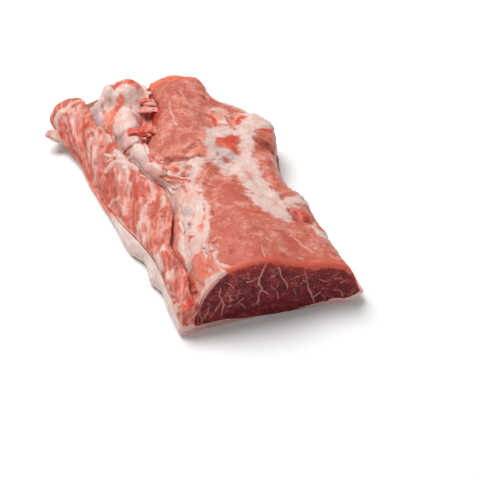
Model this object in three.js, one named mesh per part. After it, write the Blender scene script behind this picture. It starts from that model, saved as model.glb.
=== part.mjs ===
// A raw boneless pork loin, lying on its back fat with the rib side up and one end freshly cut.
// Three layers run its whole length: the fat cap that it lies on, which also rises as a seam of fat
// between the two muscles, the broad eye muscle, and the narrow rib strip along the left side.
//
// Millimetres, +Z up. The loin lies along Y with its cut face at the -Y end. The origin is on the
// surface that the loin lies on, under the middle of its box.

import * as THREE from "three";

// Driving dimensions
const LENGTH = 330; // cut face to the far tip of the seam fat
const EYE_LENGTH = 320; // cut face to the far end of the eye muscle
const STRIP_LENGTH = 335; // cut face to the far end of the rib strip
const GAP = 0.4; // clearance between neighbouring solids
const EYE_CORNER_Z = 8; // height of the eye muscle's lower left corner
const FAT_UNDER_EYE = 3; // fat cap under the middle of the eye muscle
const FAT_AT_LEFT = 5; // fat cap under the left part of the eye muscle
const FAT_AT_RIGHT = 5; // fat cap under the right edge of the eye muscle
const FAT_WRAP_HEIGHT = 2; // how far the fat cap rises over the eye muscle's right edge
const FOOT_Z = 3; // height of the fat cap's left edge
const SEAM_THICKNESS = 3.5; // seam fat on the eye muscle's left slope
const CREVICE_DEPTH = 9; // crevice between the rib strip and the seam fat
const CREVICE_LEAN = 0.6; // how far its bottom lies to the right of the strip's ridge
const STRIP_BULGE = 5; // how far the rib strip's outer face swells past a straight line

// The cut and the fat that stands out in front of it
const CUT_ROUND = 6.4; // rounding of the cut's upper edge
const CUT_RIGHT = 98; // x of the cut's forward corner
const CUT_SKEW = 0.0616; // how much the cut leans back for each millimetre to the left
const CUT_SKEW_END = 120; // the cut's lean has died out this far from the cut
const FRONT_LIP = 6; // how far the fat cap's two front corners stand out in front of the cut
const LIP_MIDDLE = 15; // x midway between those corners
const LIP_INNER = 45; // the lips start and are whole this far to either side of it
const LIP_OUTER = 78;
const LIP_END = 14; // they have died out this far from the cut

// The far end
const FAR_FILL = 8; // how much the fat cap thickens past the end of the eye muscle
const FAR_PULL_START = 240; // where the solids start to draw back from a straight far end
const END_ROUND = 14; // each solid narrows over this last stretch
const END_SHRINK = 0.22; // and by this share of its cross-section
const TAIL_AT = 303; // a tail of fat under the rib strip: its distance from the cut
const TAIL_LENGTH = 22;
const TAIL_RISE = 11;
const TAIL_WIDTH = 36;

// Ribs of the strip: ridges that run down and forwards across it, where the rib bones were cut away
const RIB_SPACING = 48;
const RIB_SLANT = 120; // how far a ridge runs forwards on its way down the strip
const RIB_HEIGHT = 1.8;

// How finely the solids are divided
const STATION_STEP = 6.4;
const FRONT_SHARES = [0.1, 0.4]; // shares of the first step with rings of their own, for the cut's rounded edge
const SLAB_STEPS = 12;
const SLOPE_STEPS = 10;
const TOP_STEPS = 24;
const BED_STEPS = 7;
const STRIP_STEPS = 12;
const FOOT_STEPS = 12;

const mix = THREE.MathUtils.lerp;
const smooth = THREE.MathUtils.smoothstep;

// A smooth curve through [distance, value] knots: cubic pieces whose slopes are those of the neighbours' chords.
function along(knots) {
  const slopes = knots.map((_, i) => {
    const before = knots[Math.max(i - 1, 0)];
    const after = knots[Math.min(i + 1, knots.length - 1)];
    return (after[1] - before[1]) / (after[0] - before[0]);
  });
  return (s) => {
    const next = knots.findIndex((knot) => knot[0] > s);
    const i = Math.max((next < 0 ? knots.length - 1 : next) - 1, 0);
    const span = knots[i + 1][0] - knots[i][0];
    const t = THREE.MathUtils.clamp((s - knots[i][0]) / span, 0, 1);
    return mix(knots[i][1], knots[i + 1][1], smooth(t, 0, 1)) + span * t * (1 - t) * (slopes[i] * (1 - t) - slopes[i + 1] * t);
  };
}

// Lines along the loin. Each knot is the distance from the cut and then x or z at that place.
const footX = along([
  [0, -64], [30, -64], [50, -62], [71, -68], [98, -65], [118, -73], [166, -76], [206, -79], [278, -81], [330, -82],
]);
const stripEdgeX = along([
  [0, -61], [30, -60], [50, -60], [74, -59], [98, -62], [122, -66], [150, -71], [206, -77], [260, -82], [300, -90], [335, -93],
]);
const stripEdgeZ = along([[0, 12], [40, 13], [71, 16], [98, 16], [118, 15], [150, 11], [206, 7], [260, 8], [300, 12], [335, 15]]);
const ridgeX = along([
  [0, -50], [14, -50], [24, -47], [36, -44], [50, -45], [80, -46], [100, -40], [119, -33], [133, -29], [152, -27], [166, -30], [178, -36],
  [200, -42], [222, -47], [254, -51], [272, -58], [300, -58], [335, -57],
]);
const ridgeZ = along([[0, 34], [40, 33], [93, 33], [149, 33], [220, 34], [278, 34], [335, 31]]);
const shoulderX = along([
  [0, -21], [22, -26], [38, -25], [50, -21], [68, -15], [85, -10], [109, -8], [130, -6], [148, -7], [162, -16], [178, -24],
  [195, -29], [208, -26], [222, -22], [245, -9], [268, 0], [300, 2], [330, 5],
]);
const shoulderZ = along([[0, 57], [50, 55], [110, 50], [140, 47], [155, 46], [178, 48], [250, 48], [300, 46], [330, 43]]);
const crestX = along([[0, 12], [60, 14], [120, 14], [180, 8], [240, 14], [300, 24], [330, 28]]);
const crestZ = along([[0, 61], [60, 58], [120, 54], [180, 54], [240, 53], [300, 50], [330, 48]]);
const fallX = along([[0, 46], [60, 48], [120, 47], [200, 55], [260, 48], [300, 44], [330, 42]]);
const fallZ = along([[0, 48], [60, 48], [120, 47], [200, 46], [260, 46], [300, 47], [330, 46]]);
const rightX = along([
  [0, 72], [60, 77], [92, 78], [110, 74], [125, 71], [154, 75], [181, 83], [201, 93], [219, 92], [244, 79], [260, 67], [274, 59], [290, 57], [330, 56],
]);
const rightZ = along([[0, 40], [60, 40], [120, 39], [200, 38], [260, 39], [300, 41], [330, 40]]);
const tipX = along([
  [0, 94], [23, 95], [60, 93], [92, 93], [108, 92], [130, 87], [143, 84], [154, 86], [181, 91], [201, 97], [219, 99], [244, 92],
  [272, 74], [290, 67], [312, 63], [320, 59], [330, 46],
]);
const tipZ = along([[0, 12], [60, 13], [200, 14], [320, 13], [330, 16]]);

// How the fat cap meets the eye muscle, against the distance from the cut: how far the muscle's lower left corner lies
// in from the strip's ridge, where its left slope's middle lies across and up the slope, the share of the slope that
// seam fat covers, and how far the fat cap stands out past the muscle's right edge.
const cornerIn = along([[0, 0], [200, 0], [250, 18], [330, 18]]);
const slopeX = along([[0, 0.15], [60, 0.42], [200, 0.42], [245, 0.72], [330, 0.72]]);
const slopeZ = along([[0, 0.45], [60, 0.5], [200, 0.5], [245, 0.45], [330, 0.45]]);
const seamCover = along([[0, 1], [180, 1], [205, 0.95], [225, 0.76], [250, 0.62], [275, 0.64], [300, 0.86], [330, 0.9]]);
const fatWrap = along([[0, 4], [30, 2], [60, 1.5], [330, 1.5]]);

// How far the far end falls short of a straight one, against x.
const farPull = along([[-104, 8], [-75, 2], [-60, 2], [-46, 10], [-25, 4], [-10, 5], [0, 6], [20, 4], [45, 5], [58, 8], [70, 20], [104, 40]]);

// A rounded mound: full height over its middle, falling to nothing at the rim of a turned ellipse.
function mound(x, s, { at, size, turn = 0, height }) {
  const c = Math.cos(turn);
  const n = Math.sin(turn);
  const u = ((x - at[0]) * c + (s - at[1]) * n) / size[0];
  const v = ((s - at[1]) * c - (x - at[0]) * n) / size[1];
  return height * (1 - smooth(Math.hypot(u, v), 0.35, 1));
}

// The eye muscle's relief: the far muscle's tongue, the right shoulder, the bulge and the front muscle stand up,
// two bands of fat and a hollow beside the bulge lie low, and a knob of fat stands at the right edge.
const EYE_MOUNDS = [
  { at: [8, 208], size: [30, 98], turn: -0.13, height: 4 },
  { at: [73, 138], size: [15, 42], height: 3 },
  { at: [76, 206], size: [26, 22], height: 2 },
  { at: [20, 60], size: [46, 64], height: 2 },
  { at: [25, 145], size: [12, 54], turn: -0.785, height: -3 },
  { at: [55, 105], size: [11, 52], turn: 0.21, height: -1.5 },
  { at: [80, 176], size: [11, 11], height: -4 },
  { at: [82, 110], size: [13, 14], height: 5 },
];

// Lumps of seam fat between the rib strip and the far muscle, the farthest first.
const FAT_LUMPS = [
  { at: [-24, 312], size: [31, 28], height: 15 },
  { at: [-48, 284], size: [14, 24], height: 9 },
  { at: [-33, 258], size: [20, 26], height: 14 },
  { at: [-34, 230], size: [15, 18], height: 10 },
  { at: [-36, 202], size: [11, 18], height: 8 },
  { at: [-29, 175], size: [9, 14], height: 6 },
  { at: [-26, 84], size: [9, 26], height: 2 },
];

// Height of the strip's ribs, against the distance from the cut and the share of the way from its ridge to its lower edge.
const ribRelief = (s, across) =>
  RIB_HEIGHT * Math.sin(Math.PI * across) * Math.sin((2 * Math.PI * (s + RIB_SLANT * across)) / RIB_SPACING);

const point = (x, z) => new THREE.Vector2(x, z);
const spline = (points, steps) => new THREE.SplineCurve(points).getPoints(steps);
const shifted = (points, dx, dz) => points.map((p, i) => point(p.x + dx(i / (points.length - 1)), p.y + dz(i / (points.length - 1))));
const relieved = (points, s, mounds) =>
  points.map((p, i) => {
    const inside = Math.sin((Math.PI * i) / (points.length - 1)) ** 0.5;
    return point(p.x, p.y + inside * mounds.reduce((sum, m) => sum + mound(p.x, s, m), 0));
  });

// The lines of one cross-section at distance s from the cut, each from left to right or from low to high.
function section(s) {
  const shoulder = point(shoulderX(s), shoulderZ(s));
  const tip = point(tipX(s), tipZ(s));
  const ridge = point(ridgeX(s), ridgeZ(s));
  const crevice = point(ridge.x + CREVICE_LEAN, ridge.y - CREVICE_DEPTH);
  const edge = point(stripEdgeX(s), stripEdgeZ(s));
  const past = smooth(s, EYE_LENGTH + 2 * GAP, LENGTH); // 0 along the eye muscle, 1 at the far tip of the seam fat
  const fill = FAR_FILL * past;
  const corner = point(ridge.x + cornerIn(s) + fill, EYE_CORNER_Z + fill);

  const rise = new THREE.SplineCurve([corner, point(mix(corner.x, shoulder.x, slopeX(s)), mix(corner.y, shoulder.y, slopeZ(s))), shoulder]);
  const slope = rise.getPoints(SLOPE_STEPS);
  const covered = slope.map((_, i) => rise.getPoint((seamCover(s) * i) / SLOPE_STEPS));
  const slabX = (share) => mix(corner.x, tip.x, share);
  const slab = spline(
    [corner, point(slabX(0.2), FAT_AT_LEFT + fill), point(slabX(0.55), FAT_UNDER_EYE + fill), point(slabX(0.88), FAT_AT_RIGHT + fill), tip],
    SLAB_STEPS,
  );
  const top = relieved(
    spline([shoulder, point(crestX(s), crestZ(s)), point(fallX(s), fallZ(s)), point(rightX(s), rightZ(s)), tip], TOP_STEPS),
    s,
    EYE_MOUNDS,
  );
  const bed = spline([edge, point(mix(edge.x, crevice.x, 0.55), mix(edge.y, crevice.y, 0.3)), crevice], BED_STEPS);
  return { tip, ridge, crevice, edge, slope, slab, top, bed, covered };
}

// Each ring below runs anticlockwise as seen from the cut, starting at its lowest left point.
function eyeRing(s) {
  const { slab, slope, top } = section(s);
  const inwards = (u) => GAP * (2 - 3 * u);
  const floor = shifted(slab, inwards, () => GAP);
  const wall = shifted(slope, () => 2 * GAP, (u) => GAP * (1 - 2 * smooth(u, 0, 0.25)) * (1 - smooth(u, 0.8, 1)));
  const near = 1 - Math.min(s / CUT_ROUND, 1);
  const drop = CUT_ROUND * (1 - Math.sqrt(1 - near * near));
  const over = shifted(top, inwards, (u) => GAP * u - drop * Math.sin(Math.PI * u) ** 0.5);
  return [...floor, ...over.slice(1, -1).reverse(), ...wall.slice(1).reverse()];
}

function stripRing(s) {
  const { bed, edge, ridge } = section(s);
  const under = shifted(bed, () => -GAP, () => GAP);
  const bulge = point(mix(edge.x, ridge.x, 0.45) - STRIP_BULGE, mix(edge.y, ridge.y, 0.55) + STRIP_BULGE * 0.4);
  const outer = spline([under[0].clone(), bulge, ridge.clone()], STRIP_STEPS).map((p, i) => {
    const relief = ribRelief(s, 1 - i / STRIP_STEPS);
    return point(p.x - relief * 0.6, p.y + relief * 0.8);
  });
  return [...under, ...outer.slice(1).reverse()];
}

function fatRing(s) {
  const { slab, covered, bed, tip, crevice, edge } = section(s);
  const foot = point(footX(s), FOOT_Z);
  const outer = tip.x + fatWrap(s);
  const left = [foot, point(foot.x + 8, 0), point(foot.x + 20, 0)];
  const right = [point(outer - 43, 0), point(outer - 29, 0), point(outer - 13, 0.6)];
  const wrap = [point(outer, tip.y - 4), point(outer, tip.y + FAT_WRAP_HEIGHT)];
  const floor = spline([...left, ...right, ...wrap], FOOT_STEPS).map((p) => point(p.x, Math.max(p.y, 0)));
  const end = covered[covered.length - 1];
  const crown = point(end.x - SEAM_THICKNESS, end.y - 0.5);
  const middle = point(mix(crevice.x, crown.x, 0.5) - 2, mix(crevice.y, crown.y, 0.5) + 1);
  const seam = relieved(spline([crevice, middle, crown], STRIP_STEPS), s, FAT_LUMPS);
  const tail = 1 - smooth(Math.abs(s - TAIL_AT), 0, TAIL_WIDTH / 2);
  const side = point(mix(foot.x, edge.x, 0.3) - 1.5 - TAIL_LENGTH * tail, mix(foot.y, edge.y, 0.55) + TAIL_RISE * tail);
  return [...floor, ...slab.slice(1).reverse(), ...covered, ...seam.slice(1).reverse(), ...bed.reverse(), side];
}

// Puts a ring at its place along the loin: the end of the solid narrows, and the cut and the far end take their lines.
function placed(ring, s, length, lip) {
  const left = smooth(s, length - END_ROUND, length);
  const middle = ring.reduce((sum, p) => sum.add(p), point(0, 0)).divideScalar(ring.length);
  const skew = CUT_SKEW * (1 - smooth(s, 0, CUT_SKEW_END));
  const pull = smooth(s, FAR_PULL_START, LENGTH);
  const jut = lip * (1 - smooth(s, 0, LIP_END));
  return ring.map((p) => {
    const x = mix(p.x, middle.x, END_SHRINK * left * left);
    const z = mix(p.y, middle.y, END_SHRINK * left * left * Math.min(1, p.y / middle.y));
    const corner = smooth(Math.abs(x - LIP_MIDDLE), LIP_INNER, LIP_OUTER);
    return new THREE.Vector3(x, s + skew * (CUT_RIGHT - x) - pull * farPull(x) - jut * corner, z);
  });
}

// A closed solid through rings of equal count, with a flat face over the first ring and the last.
function loft(ringAt, length, lip = 0) {
  const steps = Math.ceil(length / STATION_STEP);
  const stations = Array.from({ length: steps + 1 }, (_, i) => Math.min(i * STATION_STEP, length));
  stations.splice(1, 0, ...FRONT_SHARES.map((share) => share * STATION_STEP));
  const rings = stations.map((s) => placed(ringAt(s), s, length, lip));
  const count = rings.length - 1;
  const around = rings[0].length;
  const index = [];
  for (let i = 0; i < count; i++) {
    for (let j = 0; j < around; j++) {
      const a = i * around + j;
      const b = i * around + ((j + 1) % around);
      index.push(a, a + around, b, b, a + around, b + around);
    }
  }
  const face = (ring, first, turned) => {
    const flat = ring.map((p) => point(p.x, p.z));
    for (const [a, b, c] of THREE.ShapeUtils.triangulateShape(flat, [])) {
      const anticlockwise = THREE.ShapeUtils.area([flat[a], flat[b], flat[c]]) > 0;
      index.push(...(anticlockwise === turned ? [first + a, first + c, first + b] : [first + a, first + b, first + c]));
    }
  };
  face(rings[0], 0, false);
  face(rings[count], count * around, true);
  const geometry = new THREE.BufferGeometry().setFromPoints(rings.flat());
  geometry.setIndex(index);
  geometry.computeVertexNormals();
  return geometry;
}

function solid(name, geometry, color, roughness) {
  const material = new THREE.MeshStandardMaterial({ color, roughness, metalness: 0 });
  const mesh = new THREE.Mesh(geometry, material);
  mesh.name = name;
  return mesh;
}

const loin = new THREE.Group();
loin.add(solid("eye_muscle", loft(eyeRing, EYE_LENGTH), 0xc0705f, 0.42));
loin.add(solid("rib_strip", loft(stripRing, STRIP_LENGTH), 0xd07a68, 0.42));
loin.add(solid("fat_cap", loft(fatRing, LENGTH, FRONT_LIP), 0xe6d2c8, 0.5));

const box = new THREE.Box3().setFromObject(loin);
loin.position.set(-(box.min.x + box.max.x) / 2, -(box.min.y + box.max.y) / 2, -box.min.z);

export default loin;
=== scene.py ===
"""A raw boneless pork loin, rib side up and freshly cut in front, dressed as moist lean meat and fat.

Shapes are worked out in millimetres in the loin's own lines: x across it to the right, s along it from the
cut, z up from the surface that it lies on. They go into the meshes in metres, in the frame of the solids.
"""

import functools

import bpy
import numpy as np
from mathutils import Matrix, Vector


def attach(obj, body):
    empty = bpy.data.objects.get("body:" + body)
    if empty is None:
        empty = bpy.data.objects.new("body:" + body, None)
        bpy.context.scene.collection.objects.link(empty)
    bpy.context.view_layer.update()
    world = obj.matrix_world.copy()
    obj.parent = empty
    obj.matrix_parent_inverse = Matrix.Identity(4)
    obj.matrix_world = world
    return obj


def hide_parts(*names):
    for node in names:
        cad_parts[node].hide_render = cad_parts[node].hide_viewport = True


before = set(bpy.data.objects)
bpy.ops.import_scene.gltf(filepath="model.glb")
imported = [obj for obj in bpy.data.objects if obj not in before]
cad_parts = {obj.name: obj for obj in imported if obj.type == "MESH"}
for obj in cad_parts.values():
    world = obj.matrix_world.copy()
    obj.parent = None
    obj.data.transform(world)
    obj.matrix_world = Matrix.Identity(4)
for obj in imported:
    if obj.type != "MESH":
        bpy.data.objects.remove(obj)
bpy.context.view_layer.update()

bl_info = {
    "name": "Raw pork loin",
    "version": (1, 0, 0),
    "blender": (4, 5, 0),
    "location": "3D View > Sidebar > Loin",
    "description": "Dresses the solids of a raw pork loin as moist lean meat, seam fat and a fresh cut",
    "category": "Mesh",
}

MM = 0.001
CENTRE_X = -2.580  # the middle of the solids' box, in the loin's own lines
CENTRE_S = 163.866

# Lengths from the cut, and radii of the front and back edges
LENGTH = 330.0  # to the far tip of the seam fat
EYE_LENGTH = 320.0
STRIP_LENGTH = 335.0
EYE_BACK = 3.0
STRIP_ENDS = (0.8, 1.5)
FAT_ENDS = (1.3, 4.0)

# Cross-section
EYE_CORNER_Z = 8.0  # height of the eye muscle's lower left corner
SLAB = ((0.2, 5.0), (0.55, 3.0), (0.88, 7.0))  # shares of the way across under the eye muscle, fat there
FAT_WRAP_HEIGHT = 0.5
FOOT_Z = 3.0
FLOOR_LEFT = (8.0, 20.0)  # the floor's places in from the left foot, then in from the right and up
FLOOR_RIGHT = ((43.0, 0.0), (29.0, 0.0), (13.0, 0.6))
WRAP_STARTS = 4.0  # how far below the eye muscle's right tip the fat's wrap starts
SIDE_BEND = (0.3, 0.55)  # where the left side's middle lies, as shares of the way from foot to edge
SIDE_BULGE = 1.5
BED_BEND = (0.55, 0.3)  # the same for the strip's bed, from edge to crevice
SEAM_THICKNESS = 3.5
SEAM_MIDDLE = (-2.0, 1.0)  # how far the seam's middle lies off the line from crevice to crown
TUCK = (5.0, 24.0, 170.0, 210.0)  # where along the loin the seam fat runs over onto the eye muscle
CREVICE_DEPTH = 9.0
CREVICE_LEAN = 0.6
CREVICE_FILL = 6.0  # how far the seam fat rises beside the strip, half way along
CREVICE_FILLED = (138.0, 160.0, 204.0, 226.0)
STRIP_BEND = (0.45, 0.55)  # where the strip's bulge lies, as shares of the way from edge to ridge
STRIP_BULGE = 5.0
GAP = 0.4  # between one solid and the next

# The cut and the fat that stands out in front of it
CUT_RIGHT = 98.0
CUT_SKEW = 0.0616
CUT_SKEW_END = 120.0
CUT_OVER_SEAM = 2.5  # how far the lean shows past the eye muscle's left wall, and the heights where it does
CUT_OVER_SEAM_Z = (28.0, 40.0)
CUT_PROUD = 0.8  # how far the cut's plate stands out, how much farther at its left, and x where that ends
CUT_PROUD_LEFT = 1.6
CUT_PROUD_ENDS = (-40.0, -12.0)
CUT_BACK = 2.0
CUT_LEAST_EDGE = 0.4
CUT_ROUND_STARTS = (-32.0, -18.0)  # x where the rounding of the cut's upper edge starts, and where it halves
CUT_ROUND_HALVES = (45.0, 75.0)
FRONT_LIP = 6.0
LIP_MIDDLE = 15.0
LIP_INNER = 45.0
LIP_OUTER = 78.0
LIP_END = 14.0

# Bands of the cut by their depth under its upper line: the film of seam fat at the left, which also covers
# the cut's left end, the rim, painted a lighter red as painted light under the rounded upper edge, the brim,
# which grows to the right, the top's lean carried over that edge with painted light below it, and the dark
# depth
FILM_DEPTH = 2.4
FILM_WAVER = 1.8
FILM_ENDS = (-32.0, -20.0)
FILM_LEFT = (-51.4, -49.6)
RIM_STARTS = (-34.0, -16.0)
RIM_DEPTH = 11.0
BRIM_DEPTH = 5.0
BRIM_MORE = 3.0
BRIM_GROWS = (15.0, 40.0)
BRIM_WAVER = 2.0
CUT_DARKENS = (14.0, 44.0)

# The far end
FAR_FILL = 8.0
FAR_PULL_START = 240.0
END_ROUND = 14.0
END_SHRINK = 0.22
TAIL_AT = 303.0
TAIL_LENGTH = 17.0
TAIL_RISE = 11.0
TAIL_WIDTH = 26.0

# The fresh band behind the cut's upper edge
FRESH_MIDDLE = 5.5
FRESH_FADE = 8.0

# The far muscle: where it stands free of the seam fat, its soft left edge in painted shade, lower end and
# orange fringe
WALL_FREE = (200.0, 222.0)
BROW = (205.0, 225.0, 304.0, 318.0)
BROW_WIDTH = 14.0
BROW_DROP = 5.0
FAR_DROP = 2.2
FAR_DROPS = (285.0, 318.0)
FRINGE_X = (-2.0, 8.0, 50.0, 58.0)
FRINGE_ENDS = (308.0, 314.0)
FRINGE_START = 297.0
FRINGE_FADE = 5.0

# The rib strip: its ribs, its fuller far end, where its lower edge stands clear of the fat, and its film
RIB_SPACING = 48.0
RIB_SLANT = 120.0
STRIP_FAR = (300.0, 324.0)
STRIP_FAR_BULGE = 2.6
EDGE_CLEAR = (135.0, 165.0)
EDGE_SHARE = (0.88, 1.0)
EDGE_IN = -0.6
EDGE_OUT = 1.2
STRIP_FILM = 0.15

# The fat cap: the seam's film of lean, where it thins and by how much, where lean shows on the left side,
# and that side's columns and swelling under the strip
SEAM_FILM = 0.6
SEAM_FILM_THINS = ((8.0, 20.0, 0.15), (180.0, 212.0, 0.1))
SIDE_LEAN = (150.0, 180.0, 284.0, 292.0)
SIDE_COLUMNS = 22
SIDE_SWELL = 1.5
SIDE_SWELL_COLUMNS = 9.0
TAIL_SWELL = 1.6  # the small tail's swelling, how far out past the foot it grows, and its orange streaks
TAIL_SWELLS = (2.0, 12.0)
TAIL_ORANGE = (3.0, 10.0)
FRONT_BLUSH = (1.0, 8.0)  # where along the loin the blush behind the fat's front fades
STRIP_FRONT = (-61.0, -58.0, -47.0, -45.0)  # the red front under the strip: its x, its s and its z
STRIP_FRONT_S = (2.0, 6.0)
STRIP_FRONT_Z = (8.0, 12.0)
WRAP_TO = (6.0, 1.0)  # the lean film on the right wrap: distances in from the tip, down from it and along
WRAP_DOWN = (4.0, 1.0)
WRAP_FROM = (6.0, 14.0)

# Fine relief: random fields as height, size and seed, the depth of dark creases, the rise of other marks,
# and the distances behind the cut over which the relief starts
EYE_GRAIN = [(0.8, 14.0, 1), (0.5, 6.0, 2), (0.3, 2.6, 3)]
CUT_GRAIN = [(0.35, 9.0, 21), (0.15, 3.0, 22)]
STRIP_GRAIN = [(0.8, 9.0, 6), (0.4, 3.5, 7)]
FAT_GRAIN = [(1.0, 12.0, 8), (0.4, 4.0, 9)]
SEAM_EDGE_GRAIN = [(2.5, 9.0, 31), (1.8, 3.5, 32)]
EYE_CREASE = 1.3
STRIP_CREASE = 1.2
SEAM_CREASE = 1.5
VEIN_RISE = 0.25
STRIP_FAT_RISE = 0.5
EYE_RELIEF_STARTS = (0.5, 5.0)
FAT_RELIEF_STARTS = (0.5, 6.0)

# The stage, in metres and watts: lamps with their width, power and place
FLOOR_HALF = 3.0
FLOOR_COLOUR = "#f3f3f3"
LAMPS = {"key": (1.8, 65.0, (-0.45, 0.9, 2.1)), "fill": (0.8, 3.5, (0.2, -1.3, 0.5))}
WORLD_COLOUR = "#ffffff"
WORLD_LIGHT = 0.25
AZIMUTH = np.radians(-20.0)
ELEVATION = np.radians(40.0)
DISTANCE = 1.3
AIM = (26.0, 106.0)  # x and s of the place on the ground that the camera looks at
LENS = 108.33
SENSOR = 36.0

# The tissues: label, what it is and sRGB colour
COLOURS = {
    "lean": ("Lean", "Dry outer lean meat", "#c56a57"),
    "lean_dark": ("Dark lean", "Lean meat in its darker blotches", "#ae5545"),
    "lean_pale": ("Pale lean", "Lean meat under a thin film of fat", "#d9907d"),
    "rib": ("Rib lean", "Lean meat of the rib strip", "#c45c48"),
    "fresh": ("Fresh lean", "Moist orange-red lean meat", "#d4563f"),
    "blood": ("Blood", "Bloodshot spots", "#be3428"),
    # Painted shade: the dark red put into folds, creases, cracks and pits, where shade falls
    "hollow": ("Hollow", "Dark red depths of folds", "#7c2a22"),
    "fat": ("Fat", "Pale fat", "#d9c1b8"),
    "fat_white": ("White fat", "Whitest fat", "#e0cfc7"),
    "fat_pink": ("Pink fat", "Fat with a blush of meat", "#d6ada3"),
    "blush": ("Blush", "Pink lumps of fat", "#da9a8f"),
    # The sinew colour also paints grey shade on the lower sides of lumps of fat, on a fold and in a spot of
    # the white patch
    "sinew": ("Sinew", "Lilac-grey sinew", "#bfa5a6"),
    "orange": ("Orange fat", "Orange-pink streaks in the fat", "#e67f5e"),
    "cut": ("Fresh cut", "Lean meat of the fresh cut", "#6e1016"),
    "cut_dark": ("Dark cut", "Fresh cut in its darker blotches", "#46060a"),
    "cut_pale": ("Pale cut", "Fresh cut in its paler blotches", "#8f2026"),
    "vein": ("Marbling", "Marbling of the fresh cut", "#bb837c"),
}

# Lines along the loin: knots of the distance from the cut and x there, then the same for z
LINES = {
    "foot": (
        [(0, -64), (30, -64), (50, -62), (71, -68), (98, -65), (118, -73), (166, -76), (206, -79),
         (278, -81), (330, -82)],
        [(0, FOOT_Z), (330, FOOT_Z)],
    ),
    "edge": (
        [(0, -61), (30, -60), (50, -60), (74, -59), (98, -62), (122, -66), (150, -71), (206, -77),
         (260, -82), (300, -90), (335, -93)],
        [(0, 12), (40, 13), (71, 16), (98, 16), (118, 15), (150, 11), (206, 7), (260, 8), (300, 12),
         (335, 15)],
    ),
    "ridge": (
        [(0, -50), (14, -50), (24, -47), (36, -44), (50, -45), (80, -46), (100, -40), (119, -33),
         (133, -29), (152, -27), (166, -30), (178, -36), (200, -42), (222, -47), (254, -51), (272, -58),
         (300, -58), (335, -57)],
        [(0, 34), (40, 33), (93, 33), (149, 33), (220, 34), (278, 34), (335, 31)],
    ),
    "shoulder": (
        [(0, -21), (22, -26), (38, -25), (50, -21), (68, -15), (85, -10), (109, -8), (130, -6), (148, -7),
         (162, -16), (178, -24), (195, -29), (208, -26), (222, -22), (245, -9), (268, 0), (300, 2),
         (330, 5)],
        [(0, 57), (50, 55), (110, 50), (140, 47), (155, 46), (178, 48), (250, 48), (300, 46), (330, 43)],
    ),
    "crest": (
        [(0, 12), (60, 14), (120, 14), (180, 8), (240, 14), (300, 24), (330, 28)],
        [(0, 61), (60, 58), (120, 54), (180, 54), (240, 53), (300, 50), (330, 48)],
    ),
    "fall": (
        [(0, 46), (60, 48), (120, 47), (200, 55), (260, 48), (300, 44), (330, 42)],
        [(0, 48), (60, 48), (120, 47), (200, 46), (260, 46), (300, 47), (330, 46)],
    ),
    "right": (
        [(0, 82), (20, 79.5), (40, 78), (60, 77), (92, 78), (110, 74), (125, 71), (154, 75), (181, 83),
         (201, 93), (219, 92), (244, 79), (260, 67), (274, 59), (290, 57), (330, 56)],
        [(0, 40), (60, 40), (120, 39), (200, 38), (260, 39), (300, 41), (330, 40)],
    ),
    "tip": (
        [(0, 94), (23, 95), (60, 93), (92, 93), (108, 92), (130, 87), (143, 84), (154, 86), (181, 91),
         (201, 97), (219, 99), (244, 92), (272, 74), (290, 67), (312, 63), (320, 59), (330, 46)],
        [(0, 12), (60, 13), (200, 14), (320, 13), (330, 16)],
    ),
}

# How the fat cap meets the eye muscle, against the distance from the cut: how far the muscle's lower left
# corner lies in from the strip's ridge, where its left slope's middle lies across and up the slope, the
# share of the slope that seam fat covers, how far the fat cap stands out past the muscle's right edge, and
# how far the seam fat's edge runs past the muscle's left edge
CORNER_IN = [(0, 0), (200, 0), (250, 18), (330, 18)]
SLOPE_X = [(0, 0.15), (60, 0.42), (200, 0.42), (245, 0.72), (330, 0.72)]
SLOPE_Z = [(0, 0.45), (60, 0.5), (200, 0.5), (245, 0.45), (330, 0.45)]
SEAM_COVER = [(0, 1), (180, 1), (205, 0.95), (225, 0.76), (250, 0.62), (275, 0.64), (300, 0.86),
              (330, 0.9)]
FAT_WRAP = [(0, 3), (20, 0.8), (60, 0.6), (330, 0.6)]
SEAM_OVER = [(0, 0), (30, -2.4), (55, -2), (70, 0), (90, 3), (110, 6), (330, 6)]

# How far the far end falls short of a straight one, against x
FAR_PULL = [(-104, 8), (-75, 2), (-60, 2), (-46, 10), (-25, 4), (-10, 5), (0, 6), (20, 4), (45, 5),
            (58, 8), (70, 20), (104, 40)]

# The cut face's lower line, as x and z
CUT_BOTTOM = [(-51.4, 11), (-48, 9), (-35, 7.5), (-22, 6), (-10, 3), (5, 1.5), (25, 0.4), (60, 0.4),
              (66, 1.5), (68, 5), (72, 6.8), (77, 6.8), (80, 5.8), (86, 7.8), (91, 10.4), (94.6, 12.6)]

# Mounds: x and s of the middle, half sizes, turn in radians and height
EYE_MOUNDS = [
    (8, 208, 30, 98, -0.13, 4), (73, 138, 15, 42, 0, 3), (76, 206, 26, 22, 0, 2), (20, 60, 46, 64, 0, 2),
    (25, 145, 12, 54, -0.785, -3), (55, 105, 11, 52, 0.21, -1.5), (80, 176, 11, 11, 0, -4),
    (82, 110, 13, 14, 0, 5),
]
FAT_MOUNDS = [
    (-24, 312, 31, 28, 0, 15), (-48, 284, 14, 24, 0, 9), (-44, 316, 15, 20, 0, 7),
    (-33, 258, 20, 26, 0, 13), (-24, 284, 20, 22, 0, 8), (-34, 230, 15, 18, 0, 10),
    (-36, 202, 14, 20, 0, 6), (-29, 175, 12, 16, 0, 4.5), (-26, 84, 9, 26, 0, 2),
]

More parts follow.
